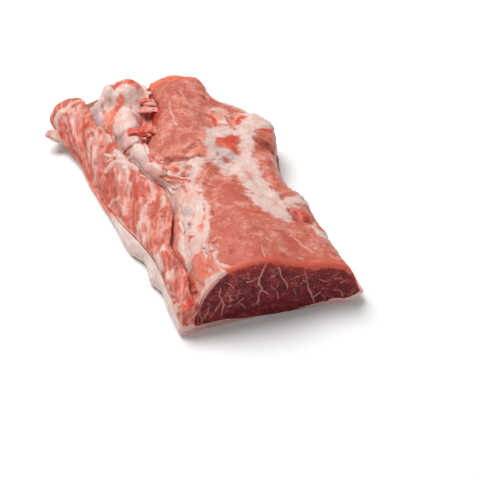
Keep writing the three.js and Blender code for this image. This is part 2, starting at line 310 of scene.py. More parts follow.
# Strokes on the eye muscle: chains of x, s and half width
EYE_FAT = [
    [(53, 65, 4), (51, 73, 9), (49, 84, 14), (47, 97, 16), (47, 110, 14), (48, 122, 11)],
    [(64, 92, 5), (73, 94, 5), (81, 98, 5), (87, 106, 3)], [(46, 126, 10), (45, 138, 11), (43, 149, 12)],
    [(52, 142, 6), (54, 158, 6), (56, 172, 6), (62, 184, 6), (66, 195, 8)],
    [(30, 152, 6), (25, 158, 7), (22, 168, 6), (24, 182, 6), (27, 194, 7), (36, 204, 9), (48, 206, 9)],
    [(1, 168, 4), (2, 157, 5), (-2, 150, 5), (-8, 140, 4)],
    [(3, 160, 4), (12, 158, 4), (20, 161, 4), (27, 157, 5), (36, 153, 6), (44, 147, 7)],
    [(24, 144, 3), (34, 141, 5), (42, 136, 7)], [(-14, 168, 6), (-8, 164, 4), (-20, 160, 5)],
    [(60, 203, 8), (72, 208, 10), (86, 213, 12), (96, 212, 6)],
    [(70, 220, 8), (84, 228, 10), (94, 228, 5)], [(52, 224, 6), (54, 240, 7), (50, 245, 4)],
    [(84, 240, 7), (76, 248, 5), (68, 256, 3)], [(74, 52, 3), (78, 46, 4), (79, 38, 2)],
    [(80, 60, 1.4), (84, 52, 1.6), (85, 44, 0.8)],
    [(-7, 146, 4), (-6, 130, 4), (-8, 109, 3.5), (-11, 88, 2.5), (-15, 76, 1.5)],
    [(-21, 46, 1.2), (-23, 32, 1.6), (-23, 20, 1.8), (-18, 10, 1.6)],
]
# Lilac sinew, and a grey spot of painted shade in the white patch
EYE_SINEW_AND_SHADE = [
    [(29, 178, 3.5), (36, 170, 6), (44, 165, 5.5), (47, 158, 3.5)], [(66, 186, 2), (64, 192, 2)],
    [(68, 84, 2), (72, 83, 2)],
]
EYE_DIM = [
    [(-18, 50, 6), (-17, 40, 8), (-10, 28, 9), (-14, 16, 7)], [(22, 76, 6), (29, 75, 7)],
    [(42, 36, 5), (48, 30, 7), (46, 22, 5)], [(-6, 95, 4), (-5, 84, 5), (-2, 76, 4)],
    [(62, 76, 4), (65, 68, 5), (60, 60, 4)], [(14, 112, 8), (20, 102, 7), (26, 96, 5)],
    [(-13, 68, 6), (-8, 56, 9), (-12, 44, 9)], [(-12, 60, 7), (-8, 52, 10), (-4, 44, 8)],
    [(-8, 22, 8), (2, 15, 9), (16, 14, 7)], [(-6, 26, 8), (6, 21, 8), (16, 25, 6)],
    [(-12, 12, 7), (14, 11, 6), (40, 11, 6), (58, 12, 4)],
]
EYE_BLUSH = [
    [(43, 128, 2), (46, 137, 3), (41, 140, 2)], [(40, 226, 4), (49, 231, 7), (54, 238, 5)],
    [(54, 90, 2), (50, 84, 2)], [(62, 218, 4), (72, 228, 4)], [(-14, 168, 5), (-20, 164, 5)],
    [(20, 190, 3), (22, 200, 3)], [(3, 171, 4), (12, 172, 4)],
    [(10, 310, 4), (28, 311, 5), (44, 310, 5), (56, 305, 5)],
]
EYE_BLOOD = [
    [(37, 189, 4), (45, 189, 6), (53, 194, 4)], [(44, 181, 4), (45, 175, 2.5)],
    [(41, 217, 1.6), (43, 228, 2.4), (40, 238, 1.8)], [(63, 213, 1.4), (66, 222, 2.6), (73, 226, 2.2)],
    [(77, 202, 1.2), (86, 199, 2), (95, 201, 3)], [(97, 207, 1.5), (99, 214, 1.5), (99, 224, 1.2)],
    [(70, 74, 3.5), (73, 67, 4)], [(80, 62, 2), (83, 53, 2)], [(84, 112, 3), (87, 105, 2.4)],
    [(57, 206, 1), (58, 208, 1)], [(2, 109, 1.2), (3, 109, 1.2)], [(-12, 98, 1.3), (-11, 98, 1.3)],
    [(-24, 36, 1.4), (-23, 36, 1.4)], [(25, 78, 3), (29, 76, 3)], [(-11, 147, 1.4), (-9, 145, 1.1)],
    [(-16, 165, 1.5), (-13, 163, 1.5)],
]
# Painted shade in the eye muscle's creases, folds, hollows and pits, which are also dented
EYE_SHADE = [
    [(-21, 180, 1.5), (-13, 175, 2.2), (-6, 170, 2), (0, 166.5, 1.2), (10, 165, 0.8)],
    [(0, 177, 2.5), (8, 180, 3)], [(71, 190, 2.5), (77, 185, 5), (84, 180, 3)],
    [(72, 62, 2.2), (74, 58, 1.5)], [(62, 80, 1.2), (65, 72, 2.2), (62, 64, 1.6)],
    [(12, 158, 0.5), (24, 160, 0.7), (34, 160.5, 0.6), (40, 158, 0.5)], [(26, 165, 0.6), (28, 171, 0.6)],
    [(30, 164, 0.5), (38, 163, 0.5)], [(57, 216, 0.8), (58, 226, 1), (58, 233, 0.8)],
    [(49, 268, 2), (50, 263, 1)], [(22, 264, 1.2), (23, 272, 1.2)], [(-6, 85, 1.6), (-5, 93, 1.2)],
    [(-11, 29, 0.8), (-10, 32, 0.6)], [(-19, 47, 0.6), (-17, 50, 0.6)], [(35, 105, 0.5), (40, 106, 0.6)],
    [(28, 128, 2), (34, 126, 1.5)], [(2, 132, 0.8), (6, 126, 0.8)], [(12, 8, 0.8), (14, 11, 0.8)],
]
EYE_THREAD = [
    [(13, 7, 0.5), (15, 14, 0.5), (17, 27, 0.5)], [(50, 40, 0.5), (54, 31, 0.6), (58, 19, 0.5)],
    [(56, 28, 0.5), (58, 24, 0.5)], [(-20, 50, 0.5), (-16, 53, 0.5), (-12, 52, 0.5), (-12, 47, 0.4)],
    [(3, 216, 0.5), (5, 232, 0.7), (7, 246, 0.6), (10, 258, 0.5)], [(24, 36, 0.6), (26, 31, 0.6)],
    [(43, 13, 0.5), (47, 11, 0.5)], [(2, 98, 0.5), (3, 92, 0.5)], [(14, 93, 0.4), (18, 90, 0.4)],
    [(2, 72, 0.4), (3, 66, 0.4)], [(40, 226, 0.4), (30, 232, 0.4), (20, 228, 0.3)],
    [(22, 250, 0.4), (30, 246, 0.4), (38, 250, 0.3)], [(5, 282, 0.4), (14, 288, 0.4), (24, 286, 0.3)],
    [(-20, 218, 0.4), (-12, 222, 0.4), (-4, 220, 0.3)], [(12, 200, 0.4), (18, 210, 0.4), (28, 214, 0.3)],
    [(-14, 200, 0.4), (-8, 210, 0.4)],
]

# Lumps of the eye muscle: strokes as above, then how far each lump swells
EYE_LUMPS = [
    ([(-8, 190, 14), (2, 186, 19), (2, 205, 24), (6, 235, 26), (14, 270, 32), (24, 300, 36)], 2.2),
    ([(84, 213, 10), (90, 216, 11), (86, 226, 10)], 2.2), ([(40, 190, 6), (48, 190, 7)], 1.0),
    ([(69, 75, 4), (74, 66, 5)], 2.2), ([(80, 62, 4), (83, 52, 4)], 1.6),
    ([(84, 112, 6), (88, 104, 5)], 2.0), ([(86, 90, 4), (89, 82, 4)], 1.4),
    ([(52, 74, 10), (49, 92, 16), (47, 112, 14)], 0.8), ([(33, 174, 4), (44, 165, 4)], 0.9),
    ([(-15, 166, 3.5), (-13, 170, 3)], 1.0), ([(-9, 163, 3), (-6, 166, 2.6)], 0.9),
    ([(-11, 157, 3.4), (-7, 154, 3)], 0.9), ([(-3, 160, 2.6), (0, 163, 2.4)], 0.8),
    ([(-17, 158, 3), (-19, 162, 3)], 1.0), ([(8, 304, 4), (12, 305, 3)], 1.8),
    ([(22, 305, 4), (28, 305, 3)], 1.6), ([(38, 304, 4), (45, 304, 3)], 2.0),
    ([(53, 301, 3), (57, 298, 3)], 1.8),
]

# Strokes on the seam fat: millimetres down from its crown, s and half width
SEAM_WIDTH = 40.0
SEAM_BLUSH = [
    [(22, 172, 8), (22, 182, 8)], [(22, 226, 8), (22, 237, 9), (24, 243, 5)],
    [(20, 146, 5), (30, 140, 5)], [(8, 74, 2.5), (9, 80, 2.5)], [(6, 150, 5), (12, 157, 4)],
    [(5, 174, 4), (6, 183, 4)], [(12, 262, 3), (10, 272, 3)], [(6, 306, 4), (12, 318, 5)],
    [(14, 60, 2), (20, 66, 2)],
]
SEAM_ORANGE = [
    [(3, 221, 2), (6, 228, 3.5), (8, 236, 4)], [(6, 250, 1.6), (8, 260, 1.6), (6, 270, 1.4)],
    [(33, 261, 2.4), (29, 269, 3.2), (26, 278, 3.2), (23, 286, 2.6), (17, 290, 2)],
    [(33, 270, 1.4), (31, 279, 1.6), (28, 288, 1.6), (24, 292, 1)], [(10, 137, 1), (14, 141, 1)],
    [(6, 83, 1.2), (5, 90, 0.8)], [(7, 72, 1.5), (9, 78, 1.5)], [(12, 98, 0.8), (11, 104, 0.8)],
    [(39, 192, 1), (37, 202, 1), (39, 212, 1)], [(5, 150, 2), (8, 158, 2.4), (6, 166, 2)],
    [(15, 158, 1.8), (18, 168, 2)], [(12, 144, 1.8), (16, 150, 1.8)],
]
SEAM_LEAN = [
    [(20, 16, 3), (17, 22, 6), (15, 31, 8), (15, 40, 8), (19, 47, 5)],
    [(29, 19, 7), (30, 30, 8), (30, 42, 6)], [(38, 16, 5), (38, 30, 6), (38, 46, 4)],
    [(34, 52, 3), (31, 60, 3.5), (32, 68, 3), (34, 78, 3.5), (32, 88, 4.5), (30, 98, 5.5), (30, 110, 5),
     (32, 118, 4), (35, 126, 2)],
    [(39, 52, 1.5), (39, 70, 2), (39, 90, 2), (39, 112, 2)],
    [(-3, 16, 5), (-2, 26, 5), (-2, 40, 3)], [(0, 15.5, 3), (5, 16, 3), (11, 17, 2.6)],
    [(4, 19, 2.6), (6, 26, 3.4), (4, 34, 2.4)],
    [(-2.4, 50, 2.4), (-2, 76, 2.6), (-2.2, 104, 2.4), (-2, 134, 2.4)], [(28, 152, 2.4), (27, 155, 1.8)],
    [(38, 147, 2), (38, 158, 1.8), (35, 164, 2.4), (38, 168, 1.8)], [(2, 142, 1.2), (4, 145, 1.6)],
    [(11, 153, 1), (13, 155, 1.4)], [(3, 158, 0.8), (6, 160, 1)],
    [(1, 171, 4), (3, 178, 5.5), (2, 186, 4.5), (0, 195, 3)],
    [(12, 311, 1.6), (8, 307, 2.6), (4, 303, 2.2)],
    [(-1, 221, 3.5), (-1, 232, 4), (-1, 243, 4), (-1, 256, 4.5), (-1, 268, 5), (-1, 278, 4),
     (-1, 290, 3)],
]
# Lilac sinew, and painted grey shade on a fold and on the lower sides of lumps
SEAM_SINEW_AND_SHADE = [
    [(3, 38, 1.6), (3.5, 46, 2), (6, 53, 1.2)], [(14, 104, 3), (16, 111, 4), (17, 116, 3)],
    [(20, 90, 2.6), (18, 86, 1.6)], [(26, 160, 3.4), (30, 163, 2.4)],
    [(28, 192, 3), (30, 202, 4), (32, 212, 3)], [(34, 279, 2.4), (35, 290, 4), (36, 302, 4)],
]
SEAM_BLOOD = [
    [(25, 23, 1.2), (29, 27, 2.6), (34, 32, 3), (38, 37, 1.6)], [(37, 17, 1.6), (39, 21, 1.6)],
    [(12, 241, 1.6), (17, 244, 3), (20, 242, 2)], [(17, 72, 1.4), (19, 76, 0.9)],
    [(1, 97, 0.9), (2, 99, 0.9)], [(3, 284.5, 0.9), (8, 286.5, 1)], [(12, 281, 0.8), (13, 283, 0.8)],
    [(13, 306, 1), (12, 310, 1.4)], [(3, 318, 1.6), (4, 324, 1.6)],
    [(20, 304, 1.2), (19, 308, 2.4), (16, 313, 2.2)], [(9, 306, 1.2), (7, 310, 2), (4, 312, 1.6)],
    [(24, 296, 0.8), (24, 298, 0.8)], [(13, 267, 0.8), (13, 269, 0.8)],
    [(3, 246, 1.6), (4, 256, 2), (2, 264, 1.2)], [(10, 150, 1), (13, 154, 0.8)],
    [(4, 145, 1.4), (7, 147, 1.2)], [(9, 185, 0.8), (6, 187, 0.8)], [(8, 157, 1), (10, 162, 1.3)],
    [(14, 151, 1.2), (17, 155, 1)], [(4, 168, 1.2), (8, 171, 1)],
]
# Painted shade in the seam fat's cracks, creases and holes, which are also dented
SEAM_SHADE = [
    [(28, 17, 1), (32, 20, 2), (34, 23, 1.2)], [(36, 25, 1), (38, 34, 1)], [(17, 91, 1.4), (18, 94, 0.9)],
    [(24, 88, 0.8), (24, 92, 0.8)], [(24, 98, 0.5), (24, 108, 0.5)],
    [(2, 218.5, 0.9), (10, 219, 0.9), (18, 220.5, 0.8), (28, 224, 0.8), (36, 229, 0.8)],
    [(8, 165, 0.6), (16, 166.5, 0.7), (24, 167.5, 0.6)], [(33, 169, 0.9), (34, 174, 0.9)],
    [(33, 214, 1), (36, 218, 1.2)], [(29, 287, 0.6), (29.5, 297, 0.6)], [(36, 247, 0.7), (33, 254, 0.6)],
    [(4, 36, 0.6), (6, 48, 0.6)], [(22, 30, 0.5), (24, 44, 0.5)],
]

# Lumps of the seam fat: strokes as above, then how far each lump swells
SEAM_LUMPS = [
    ([(17, 20, 5), (15, 33, 9), (18, 46, 7)], 1.5),
    ([(31, 56, 4), (32, 80, 5), (30, 104, 6), (33, 122, 3)], 1.8),
    ([(12, 60, 8), (11, 80, 8), (12, 102, 8)], 1.0), ([(14, 118, 8), (16, 134, 8)], 1.0),
    ([(4, 156, 2.4), (6, 159, 2.2)], 1.0), ([(9, 150, 2.6), (12, 148, 2.2)], 1.0),
    ([(13, 158, 3), (15, 161, 2.6)], 1.1), ([(5, 164, 2.6), (8, 167, 2.6)], 1.1),
    ([(3, 149, 2), (4, 152, 2)], 0.9), ([(9, 156, 2.2), (11, 161, 2)], 0.8),
    ([(17, 150, 2.4), (20, 153, 2)], 0.9), ([(27, 152, 4), (28, 155, 3)], 1.4),
    ([(22, 173, 9), (20, 181, 10)], 1.5), ([(18, 197, 13), (19, 208, 13)], 1.3),
    ([(18, 228, 13), (20, 238, 13)], 1.6),
    ([(22, 250, 11), (18, 262, 12), (13, 276, 11), (9, 286, 8)], 2.0),
    ([(34, 283, 7), (35, 299, 7)], 2.2), ([(29, 270, 4), (24, 287, 4)], 1.2),
    ([(14, 304, 14), (18, 315, 16)], 1.2),
]

# Strokes on the rib strip: millimetres down from its ridge, s and half width
STRIP_WIDTH = 45.0
STRIP_FAT = [
    [(21, 14, 2), (28, 16, 4), (36, 18, 4.5), (45, 22, 5)], [(26, 25, 0.9), (36, 32, 1.1), (45, 38, 1.2)],
    [(23, 31, 0.7), (34, 39, 0.9), (45, 46, 1)],
    [(9, 27, 0.9), (13, 21, 1), (16, 17, 1.1), (20, 12, 1.1)],
    [(10, 57, 1.3), (16, 55, 1.4), (24, 51, 1.7), (36, 49, 1.8), (45, 47, 1.6)],
    [(25, 64, 2.6), (28, 69, 5), (34, 73, 8), (43, 74, 9)], [(23, 77, 3), (30, 80, 4)],
    [(11, 83, 1.6), (18, 83, 2.2), (24, 82, 2)], [(34, 85, 2.4), (40, 91, 2)],
    [(45, 114, 3), (38, 121, 2.8), (32, 126, 2.8), (27, 132, 1.3)],
    [(24, 131, 0.7), (18, 143, 0.8), (14, 151, 1), (9, 160, 1.3), (4, 169, 1.8), (1, 178, 1.5)],
    [(42, 118, 1.6), (43, 135, 2), (43, 150, 1.8), (44, 162, 1.2)],
    [(35, 155, 1.3), (32, 160, 1.8), (30, 166, 1.2)],
    [(22, 165, 1.3), (18, 175, 1.7), (13, 188, 2.1), (9, 200, 1.9), (7, 210, 1.4)],
    [(19, 193, 1.2), (16, 202, 1.4), (13, 209, 1)], [(30, 178, 1.4), (34, 180, 2.6), (42, 181, 2.4)],
    [(36, 215, 0.9), (30, 224, 1.2), (25, 233, 1.5), (20, 243, 1.6), (15, 250, 1.2)],
    [(24, 247, 1.4), (17, 256, 2.4), (10, 265, 2.1), (6, 271, 1.4)],
    [(6, 246, 1.4), (3, 253, 1.8), (1, 261, 1.4)], [(33, 240, 0.9), (27, 249, 1.2), (22, 258, 1)],
    [(36, 268, 1.1), (30, 276, 1.4), (27, 284, 1)],
    [(21, 281, 1.1), (18, 292, 1.4), (16, 303, 1.5), (13, 312, 1.2)],
    [(45, 286, 1.6), (44, 298, 2.4), (41, 306, 3), (36, 311, 3.2), (29, 314, 3), (22, 317, 2.4),
     (15, 320, 2.2), (8, 322, 2), (2, 322, 1.8)],
    [(45, 88, 2), (46, 108, 2), (46, 130, 1.6), (46, 170, 2), (46, 200, 1.4), (46, 240, 2), (46, 290, 2)],
    [(12, 98, 0.6), (9, 110, 0.7), (9, 122, 0.5)], [(28, 104, 0.7), (23, 116, 0.8), (18, 128, 0.6)],
    [(40, 100, 0.8), (34, 108, 0.9), (30, 114, 0.7)], [(10, 132, 0.5), (6, 142, 0.6), (4, 150, 0.5)],
    [(38, 196, 0.8), (32, 204, 0.9), (27, 212, 0.7)], [(14, 232, 1), (16, 226, 1.2)],
    [(28, 290, 0.8), (24, 300, 0.9), (22, 308, 0.7)], [(12, 296, 0.7), (9, 306, 0.9), (7, 316, 0.8)],
]
STRIP_BLOOD = [
    [(15, 160, 1.3), (14, 166, 1.4), (12, 173, 1.1)], [(38, 152, 1.1), (39, 154, 1.1)],
    [(36, 206, 1.1), (36, 208.5, 1.1)], [(39, 251, 1.8), (41, 257, 1.8)], [(8, 276, 1.4), (11, 284, 1.8)],
    [(11, 70, 1.8), (13, 76, 2.6)], [(4, 9, 4), (14, 10, 3)], [(10, 220, 0.9), (11, 227, 1.1)],
    [(42, 97, 1.4), (43, 101, 1.4)], [(6, 30, 2), (4, 40, 3)], [(6, 232, 1.6), (4, 242, 1.6)],
]
# Painted shade in the strip's grooves, creases and crevice, which are also dented
STRIP_SHADE = [
    [(3, 57, 1.8), (4, 61, 1.8)], [(2, 64, 0.7), (4, 74, 0.7), (1, 84, 0.7)],
    [(10, 221, 0.7), (11, 228, 0.8)], [(12, 247, 1.3), (14, 249, 1)], [(11, 264, 1), (9, 270, 0.9)],
    [(22, 188, 0.7), (17, 200, 0.7), (13, 208, 0.6)], [(26, 146, 0.6), (20, 158, 0.6), (17, 166, 0.5)],
    [(12, 22, 0.8), (8, 26, 0.8)], [(30, 236, 0.6), (24, 250, 0.6)], [(34, 262, 0.6), (26, 274, 0.6)],
    [(16, 112, 0.5), (13, 124, 0.5)],
]

# Shreds of fat that lie on the strip: strokes as above, then how far each one swells
STRIP_LUMPS = [
    ([(5, 231, 2.2), (5, 224, 3.6), (6, 218, 4.2), (7.5, 212, 3.6), (8, 206, 2.2)], 1.4),
    ([(10, 216.5, 2.8), (15, 214.6, 2.8), (20, 213.4, 3)], 1.4),
    ([(4, 209, 2.6), (2.6, 202, 3.2), (2.4, 194, 2.2)], 1.2), ([(5, 232, 1.6), (6, 229, 2.2)], 2.0),
    ([(4, 226, 2.6), (5, 223, 2.8)], 2.4), ([(6, 219, 3), (5, 216, 2.8)], 2.6),
    ([(8, 213, 2.8), (7, 209, 2.6)], 2.6), ([(9, 206, 1.6), (10, 203, 1.2)], 1.6),
    ([(14.5, 235, 1.4), (13, 231, 2)], 1.6), ([(11.5, 228, 2), (9, 226, 1.8)], 1.8),
    ([(11, 216, 2.2), (13, 215, 2.4)], 2.4), ([(16, 214.5, 2.2), (17.5, 214, 2.4)], 2.4),
    ([(20, 213.5, 2.6), (21.5, 213, 2)], 2.4), ([(3.5, 209, 1.8), (3, 206, 2.2)], 1.8),
    ([(2.4, 203, 2.4), (3.4, 200, 2)], 1.8), ([(2.2, 197, 1.4), (2, 193, 1.8)], 1.6),
    ([(2.5, 181, 1), (3, 185, 1.6)], 1.4), ([(12.5, 222, 1), (14.5, 222.5, 1.2)], 1.2),
]

# Red strands across the gap beside the far muscle, and crumbs of fat in it: x, s, z and half width
STRANDS = [
    [(-38.5, 236, 45, 1.8), (-32, 235.5, 46.5, 3.2), (-26, 233.5, 47.5, 4.6), (-18, 231, 48, 5.4),
     (-10, 228, 47.5, 5.4)],
    [(-12, 284, 42, 1.6), (-6, 286, 43, 2.4), (0, 283, 43, 1.8)],
    [(-25, 240, 38, 2.4), (-21, 236, 39, 2.8), (-19, 231, 39, 2)],
]
CRUMBS = [
    [(-17, 279, 38, 3), (-10, 276, 39.5, 5.5), (-1, 272, 40, 4.5), (8, 268, 39, 3)],
    [(-11, 289, 39, 3), (-4, 285, 40.5, 4.5), (4, 280, 40.5, 4), (12, 276, 39, 3)],
    [(-4, 303, 40, 2.6), (1, 300, 41, 3.6), (8, 298, 40, 3)],
]

# Marbling of the cut face: chains of x, z and half width
VEINS = [
    [(13, 58, 0.75), (9, 53, 0.83), (7.5, 46, 0.83), (6, 38, 0.83), (9, 32, 0.68), (6.5, 27, 0.6),
     (5, 20, 0.52), (5, 14, 0.38)],
    [(9, 31, 0.52), (13, 25, 0.52), (17, 20, 0.38)],
    [(23, 53, 0.45), (25, 45, 0.52), (27, 39, 0.6), (30, 33, 0.52), (31, 26, 0.38)],
    [(-24, 48, 0.38), (-20, 44, 0.52), (-16, 38, 0.45)],
    [(-27, 43, 0.38), (-28, 35, 0.6), (-27, 28, 0.6), (-25, 23, 0.45), (-26, 18, 0.45), (-26, 13, 0.38)],
    [(-28, 28, 0.52), (-31, 20, 0.52), (-36, 13, 0.38)],
    [(-12, 33, 0.38), (-13, 28, 0.52), (-14, 26, 0.38)],
    [(-20, 32, 0.38), (-20, 26, 0.45), (-17, 25, 0.38)],
    [(43, 30, 0.38), (45, 33, 0.45), (48, 29, 0.52), (50, 24, 0.52), (52, 16, 0.52), (54, 9, 0.45),
     (56, 1, 0.38)],
    [(46, 42, 0.45), (49, 34, 0.45), (48, 29, 0.38)], [(36, 24, 0.3), (39, 17, 0.38)],
    [(54, 11, 0.3), (60, 14, 0.38), (64, 17, 0.3)], [(64, 12, 0.3), (67, 4, 0.3)],
    [(70, 17, 0.3), (77, 15, 0.38), (79, 8, 0.3)], [(78, 24, 0.3), (82, 29, 0.3)],
    [(7, 45, 0.38), (1, 44, 0.38), (-5, 43, 0.3)], [(-1, 34, 0.3), (-8, 31, 0.38), (-12, 30, 0.3)],
    [(-6, 24, 0.3), (-14, 20, 0.38), (-22, 20, 0.3)], [(-2, 14, 0.3), (6, 18, 0.3)],
    [(22, 39, 0.3), (21, 31, 0.3)], [(33, 36, 0.3), (40, 38, 0.3)], [(60, 30, 0.3), (66, 26, 0.3)],
    [(-39, 30, 0.3), (-38, 22, 0.38), (-42, 14, 0.3)], [(-40, 24, 0.3), (-36, 26, 0.3)],
    [(-46, 22, 0.25), (-44, 14, 0.3), (-45, 10, 0.25)], [(-10, 20, 0.25), (-6, 12, 0.3)],
    [(2, 26, 0.25), (-4, 22, 0.25)], [(14, 40, 0.25), (19, 44, 0.3)],
    [(16, 32, 0.25), (22, 26, 0.25), (24, 18, 0.25)], [(38, 12, 0.25), (44, 8, 0.25)],
    [(56, 38, 0.25), (60, 34, 0.25)],
]


def linear(hex_colour):
    """Linear red, green and blue of an sRGB hex value."""
    srgb = np.array([int(hex_colour[i:i + 2], 16) for i in (1, 3, 5)]) / 255.0
    return tuple(np.where(srgb <= 0.04045, srgb / 12.92, ((srgb + 0.055) / 1.055) ** 2.4))


def smooth(value, low, high):
    """0 up to low, 1 from high on, and an S-shaped rise between them."""
    t = np.clip((value - low) / (high - low), 0.0, 1.0)
    return t * t * (3.0 - 2.0 * t)


def within(value, low, full, fade, gone):
    """1 from full to fade, 0 up to low and from gone on, with S-shaped steps between them."""
    return smooth(value, low, full) - smooth(value, fade, gone)


def mix(a, b, share):
    """The value that lies a share of the way from a to b."""
    return a + (b - a) * share


def along(knots, s):
    """A smooth curve through knots of distance and value: cubic pieces sloped like neighbours' chords."""
    at, value = np.array(knots, float).T
    index = np.arange(len(at))
    before = np.maximum(index - 1, 0)
    after = np.minimum(index + 1, len(at) - 1)
    slope = (value[after] - value[before]) / (at[after] - at[before])
    i = np.clip(np.searchsorted(at, s, side="right") - 1, 0, len(at) - 2)
    span = at[i + 1] - at[i]
    t = np.clip((s - at[i]) / span, 0.0, 1.0)
    bend = span * t * (1.0 - t) * (slope[i] * (1.0 - t) - slope[i + 1] * t)
    return mix(value[i], value[i + 1], smooth(t, 0.0, 1.0)) + bend


def catmull(points, u):
    """Places at shares u of curves through points: cubic pieces sloped like neighbours' chords."""
    last = points.shape[1] - 1
    i = np.minimum((u * last).astype(int), last - 1)
    w = (u * last - i)[None, :, None]
    p0, p1, p2, p3 = (points[:, np.clip(i + k, 0, last)] for k in (-1, 0, 1, 2))
    v0 = (p2 - p0) / 2.0
    v1 = (p3 - p1) / 2.0
    return ((2.0 * (p1 - p2) + v0 + v1) * w + 3.0 * (p2 - p1) - 2.0 * v0 - v1) * w * w + v0 * w + p1


def spline(points, count):
    """Curves through points, one a cross-section: count even places on each, and their shares of the way."""
    stacked = np.stack(points, 1)
    fine = np.linspace(0.0, 1.0, 400)
    steps = np.linalg.norm(np.diff(catmull(stacked, fine), axis=1), axis=-1).mean(0)
    way = np.concatenate([[0.0], np.cumsum(steps)]) / steps.sum()
    u = np.interp(np.linspace(0.0, 1.0, count), way, fine)
    return catmull(stacked, u), u


def grain(points, size, seed):
    """A smooth random field from -1 to 1: random values at the corners of a lattice of that size, mixed."""
    cell = points / size
    low = np.floor(cell).astype(np.int64)
    share = smooth(cell - low, 0.0, 1.0)
    total = np.zeros(points.shape[:-1])
    for corner in np.ndindex(*(2,) * points.shape[-1]):
        key = (low + corner) @ np.array([73856093, 19349663, 83492791])[: points.shape[-1]] + seed * 7919
        key = ((key ^ (key >> 13)) * 1274126177) & 0x7FFFFFFF
        key = ((key ^ (key >> 16)) * 668265263) & 0x7FFFFFFF
        total += np.prod(np.where(corner, share, 1.0 - share), -1) * (key / 0x3FFFFFFF - 1.0)
    return total


def uneven(points, table):
    """The sum of random fields: the table gives the height, size and seed of each."""
    return sum(height * grain(points, size, seed) for height, size, seed in table)


def reach(x, s, strokes):
    """Distance of places from chains of discs: below 0 inside the tapered bands that pairs of discs span."""
    least = np.full(np.shape(x), np.inf)
    for chain in strokes:
        for (x0, s0, r0), (x1, s1, r1) in zip(chain, chain[1:]):
            run = (x1 - x0) ** 2 + (s1 - s0) ** 2
            t = np.clip(((x - x0) * (x1 - x0) + (s - s0) * (s1 - s0)) / run, 0.0, 1.0)
            away = np.hypot(x - mix(x0, x1, t), s - mix(s0, s1, t))
            least = np.minimum(least, away - mix(r0, r1, t))
    return least


def wandered(across, grid, wander):
    """Places across and along the loin, moved by smooth random fields of about the height wander."""
    x = across + wander * uneven(grid, [(1.0, 7.0, 11), (0.4, 2.4, 15)])
    return x, grid[..., 1] + wander * uneven(grid, [(1.0, 7.0, 12), (0.4, 2.4, 16)])


def stain(across, grid, strokes, edge, wander):
    """A field of 1 inside strokes and 0 outside, 0.5 on a wandering border, fading over edge."""
    return np.clip(0.5 - reach(*wandered(across, grid, wander), strokes) / (2.0 * edge), 0.0, 1.0)


def stains_of(across, grid, table):
    """The fields of several stains: the table gives the strokes, edge and wander of each."""
    return {name: stain(across, grid, *row) for name, row in table.items()}


def pillows(across, grid, lumps, wander):
    """The highest of several swellings at each place: each rises from its border like a quarter ellipse."""
    x, s = wandered(across, grid, wander)
    height = np.zeros(grid.shape[:-1])
    for chain, swell in lumps:
        width = np.mean([disc[2] for disc in chain])
        t = np.clip(-reach(x, s, [chain]) / width, 0.0, 1.0)
        height = np.maximum(height, swell * np.sqrt(1.0 - (1.0 - t) ** 2))
    return height


def mounds(x, s, table):
    """The sum of rounded mounds: each falls from its full height in the middle to 0 at a turned ellipse."""
    total = np.zeros(np.broadcast(x, s).shape)
    for x0, s0, wide, long, turn, height in table:
        c, n = np.cos(turn), np.sin(turn)
        u = ((x - x0) * c + (s - s0) * n) / wide
        v = ((s - s0) * c - (x - x0) * n) / long
        total += height * (1.0 - smooth(np.hypot(u, v), 0.35, 1.0))
    return total


def pair(x, z):
    """Points of cross-sections from their x and z, either of which may be one value for all."""
    return np.stack(np.broadcast_arrays(x, z), -1)


def joined(parts):
    """Cross-sections joined from parts in order, then a row of marks for each value beside the parts."""
    lines, *marks = zip(*parts)
    rows = [np.concatenate([np.broadcast_to(m, p.shape[1]) for m, p in zip(mark, lines)]) for mark in marks]
    return np.concatenate(lines, 1), *rows


def stations(length, step, front, back):
    """Distances from the cut, at about that step, closer together over the roundings at the two ends."""
    quarter = 1.0 - np.cos(np.linspace(0.0, np.pi / 2.0, 7)[:-1])
    middle = np.linspace(front, length - back, int((length - front - back) / step))
    return np.concatenate([front * quarter, middle, length - back * quarter[::-1]])


def section(s):
    """The lines of the cross-sections at distances s from the cut, as part of each solid's outline."""
    at = {name: pair(along(x, s), along(z, s)) for name, (x, z) in LINES.items()}
    fill = FAR_FILL * smooth(s, EYE_LENGTH + 2.0 * GAP, LENGTH)
    at["crevice"] = at["ridge"] + (CREVICE_LEAN, -CREVICE_DEPTH)
    corner = pair(at["ridge"][:, 0] + along(CORNER_IN, s) + fill, EYE_CORNER_Z + fill)
    slope = pair(along(SLOPE_X, s), along(SLOPE_Z, s))
    under = [pair(mix(corner[:, 0], at["tip"][:, 0], share), height + fill) for share, height in SLAB]
    at["rise"] = [corner, mix(corner, at["shoulder"], slope), at["shoulder"]]
    at["slab"] = [corner, *under, at["tip"]]
    at["bed"] = [at["edge"], mix(at["edge"], at["crevice"], np.array(BED_BEND)), at["crevice"]]
    return at


def rounded(rings, s, length, front, back):
    """Rings drawn in along their own normals at both ends of a solid, by quarter circles of these radii."""
    step = np.roll(rings, -1, 1) - np.roll(rings, 1, 1)
    normal = np.stack([step[..., 1], -step[..., 0]], -1)
    normal /= np.maximum(np.linalg.norm(normal, axis=-1, keepdims=True), 1e-6)
    for distance, radius in ((s, front), (length - s, back)):
        t = np.clip(1.0 - distance[:, None] / np.maximum(radius, 1e-6), 0.0, 1.0)
        rings = rings - normal * (radius * (1.0 - np.sqrt(1.0 - t * t)))[..., None]
    return rings


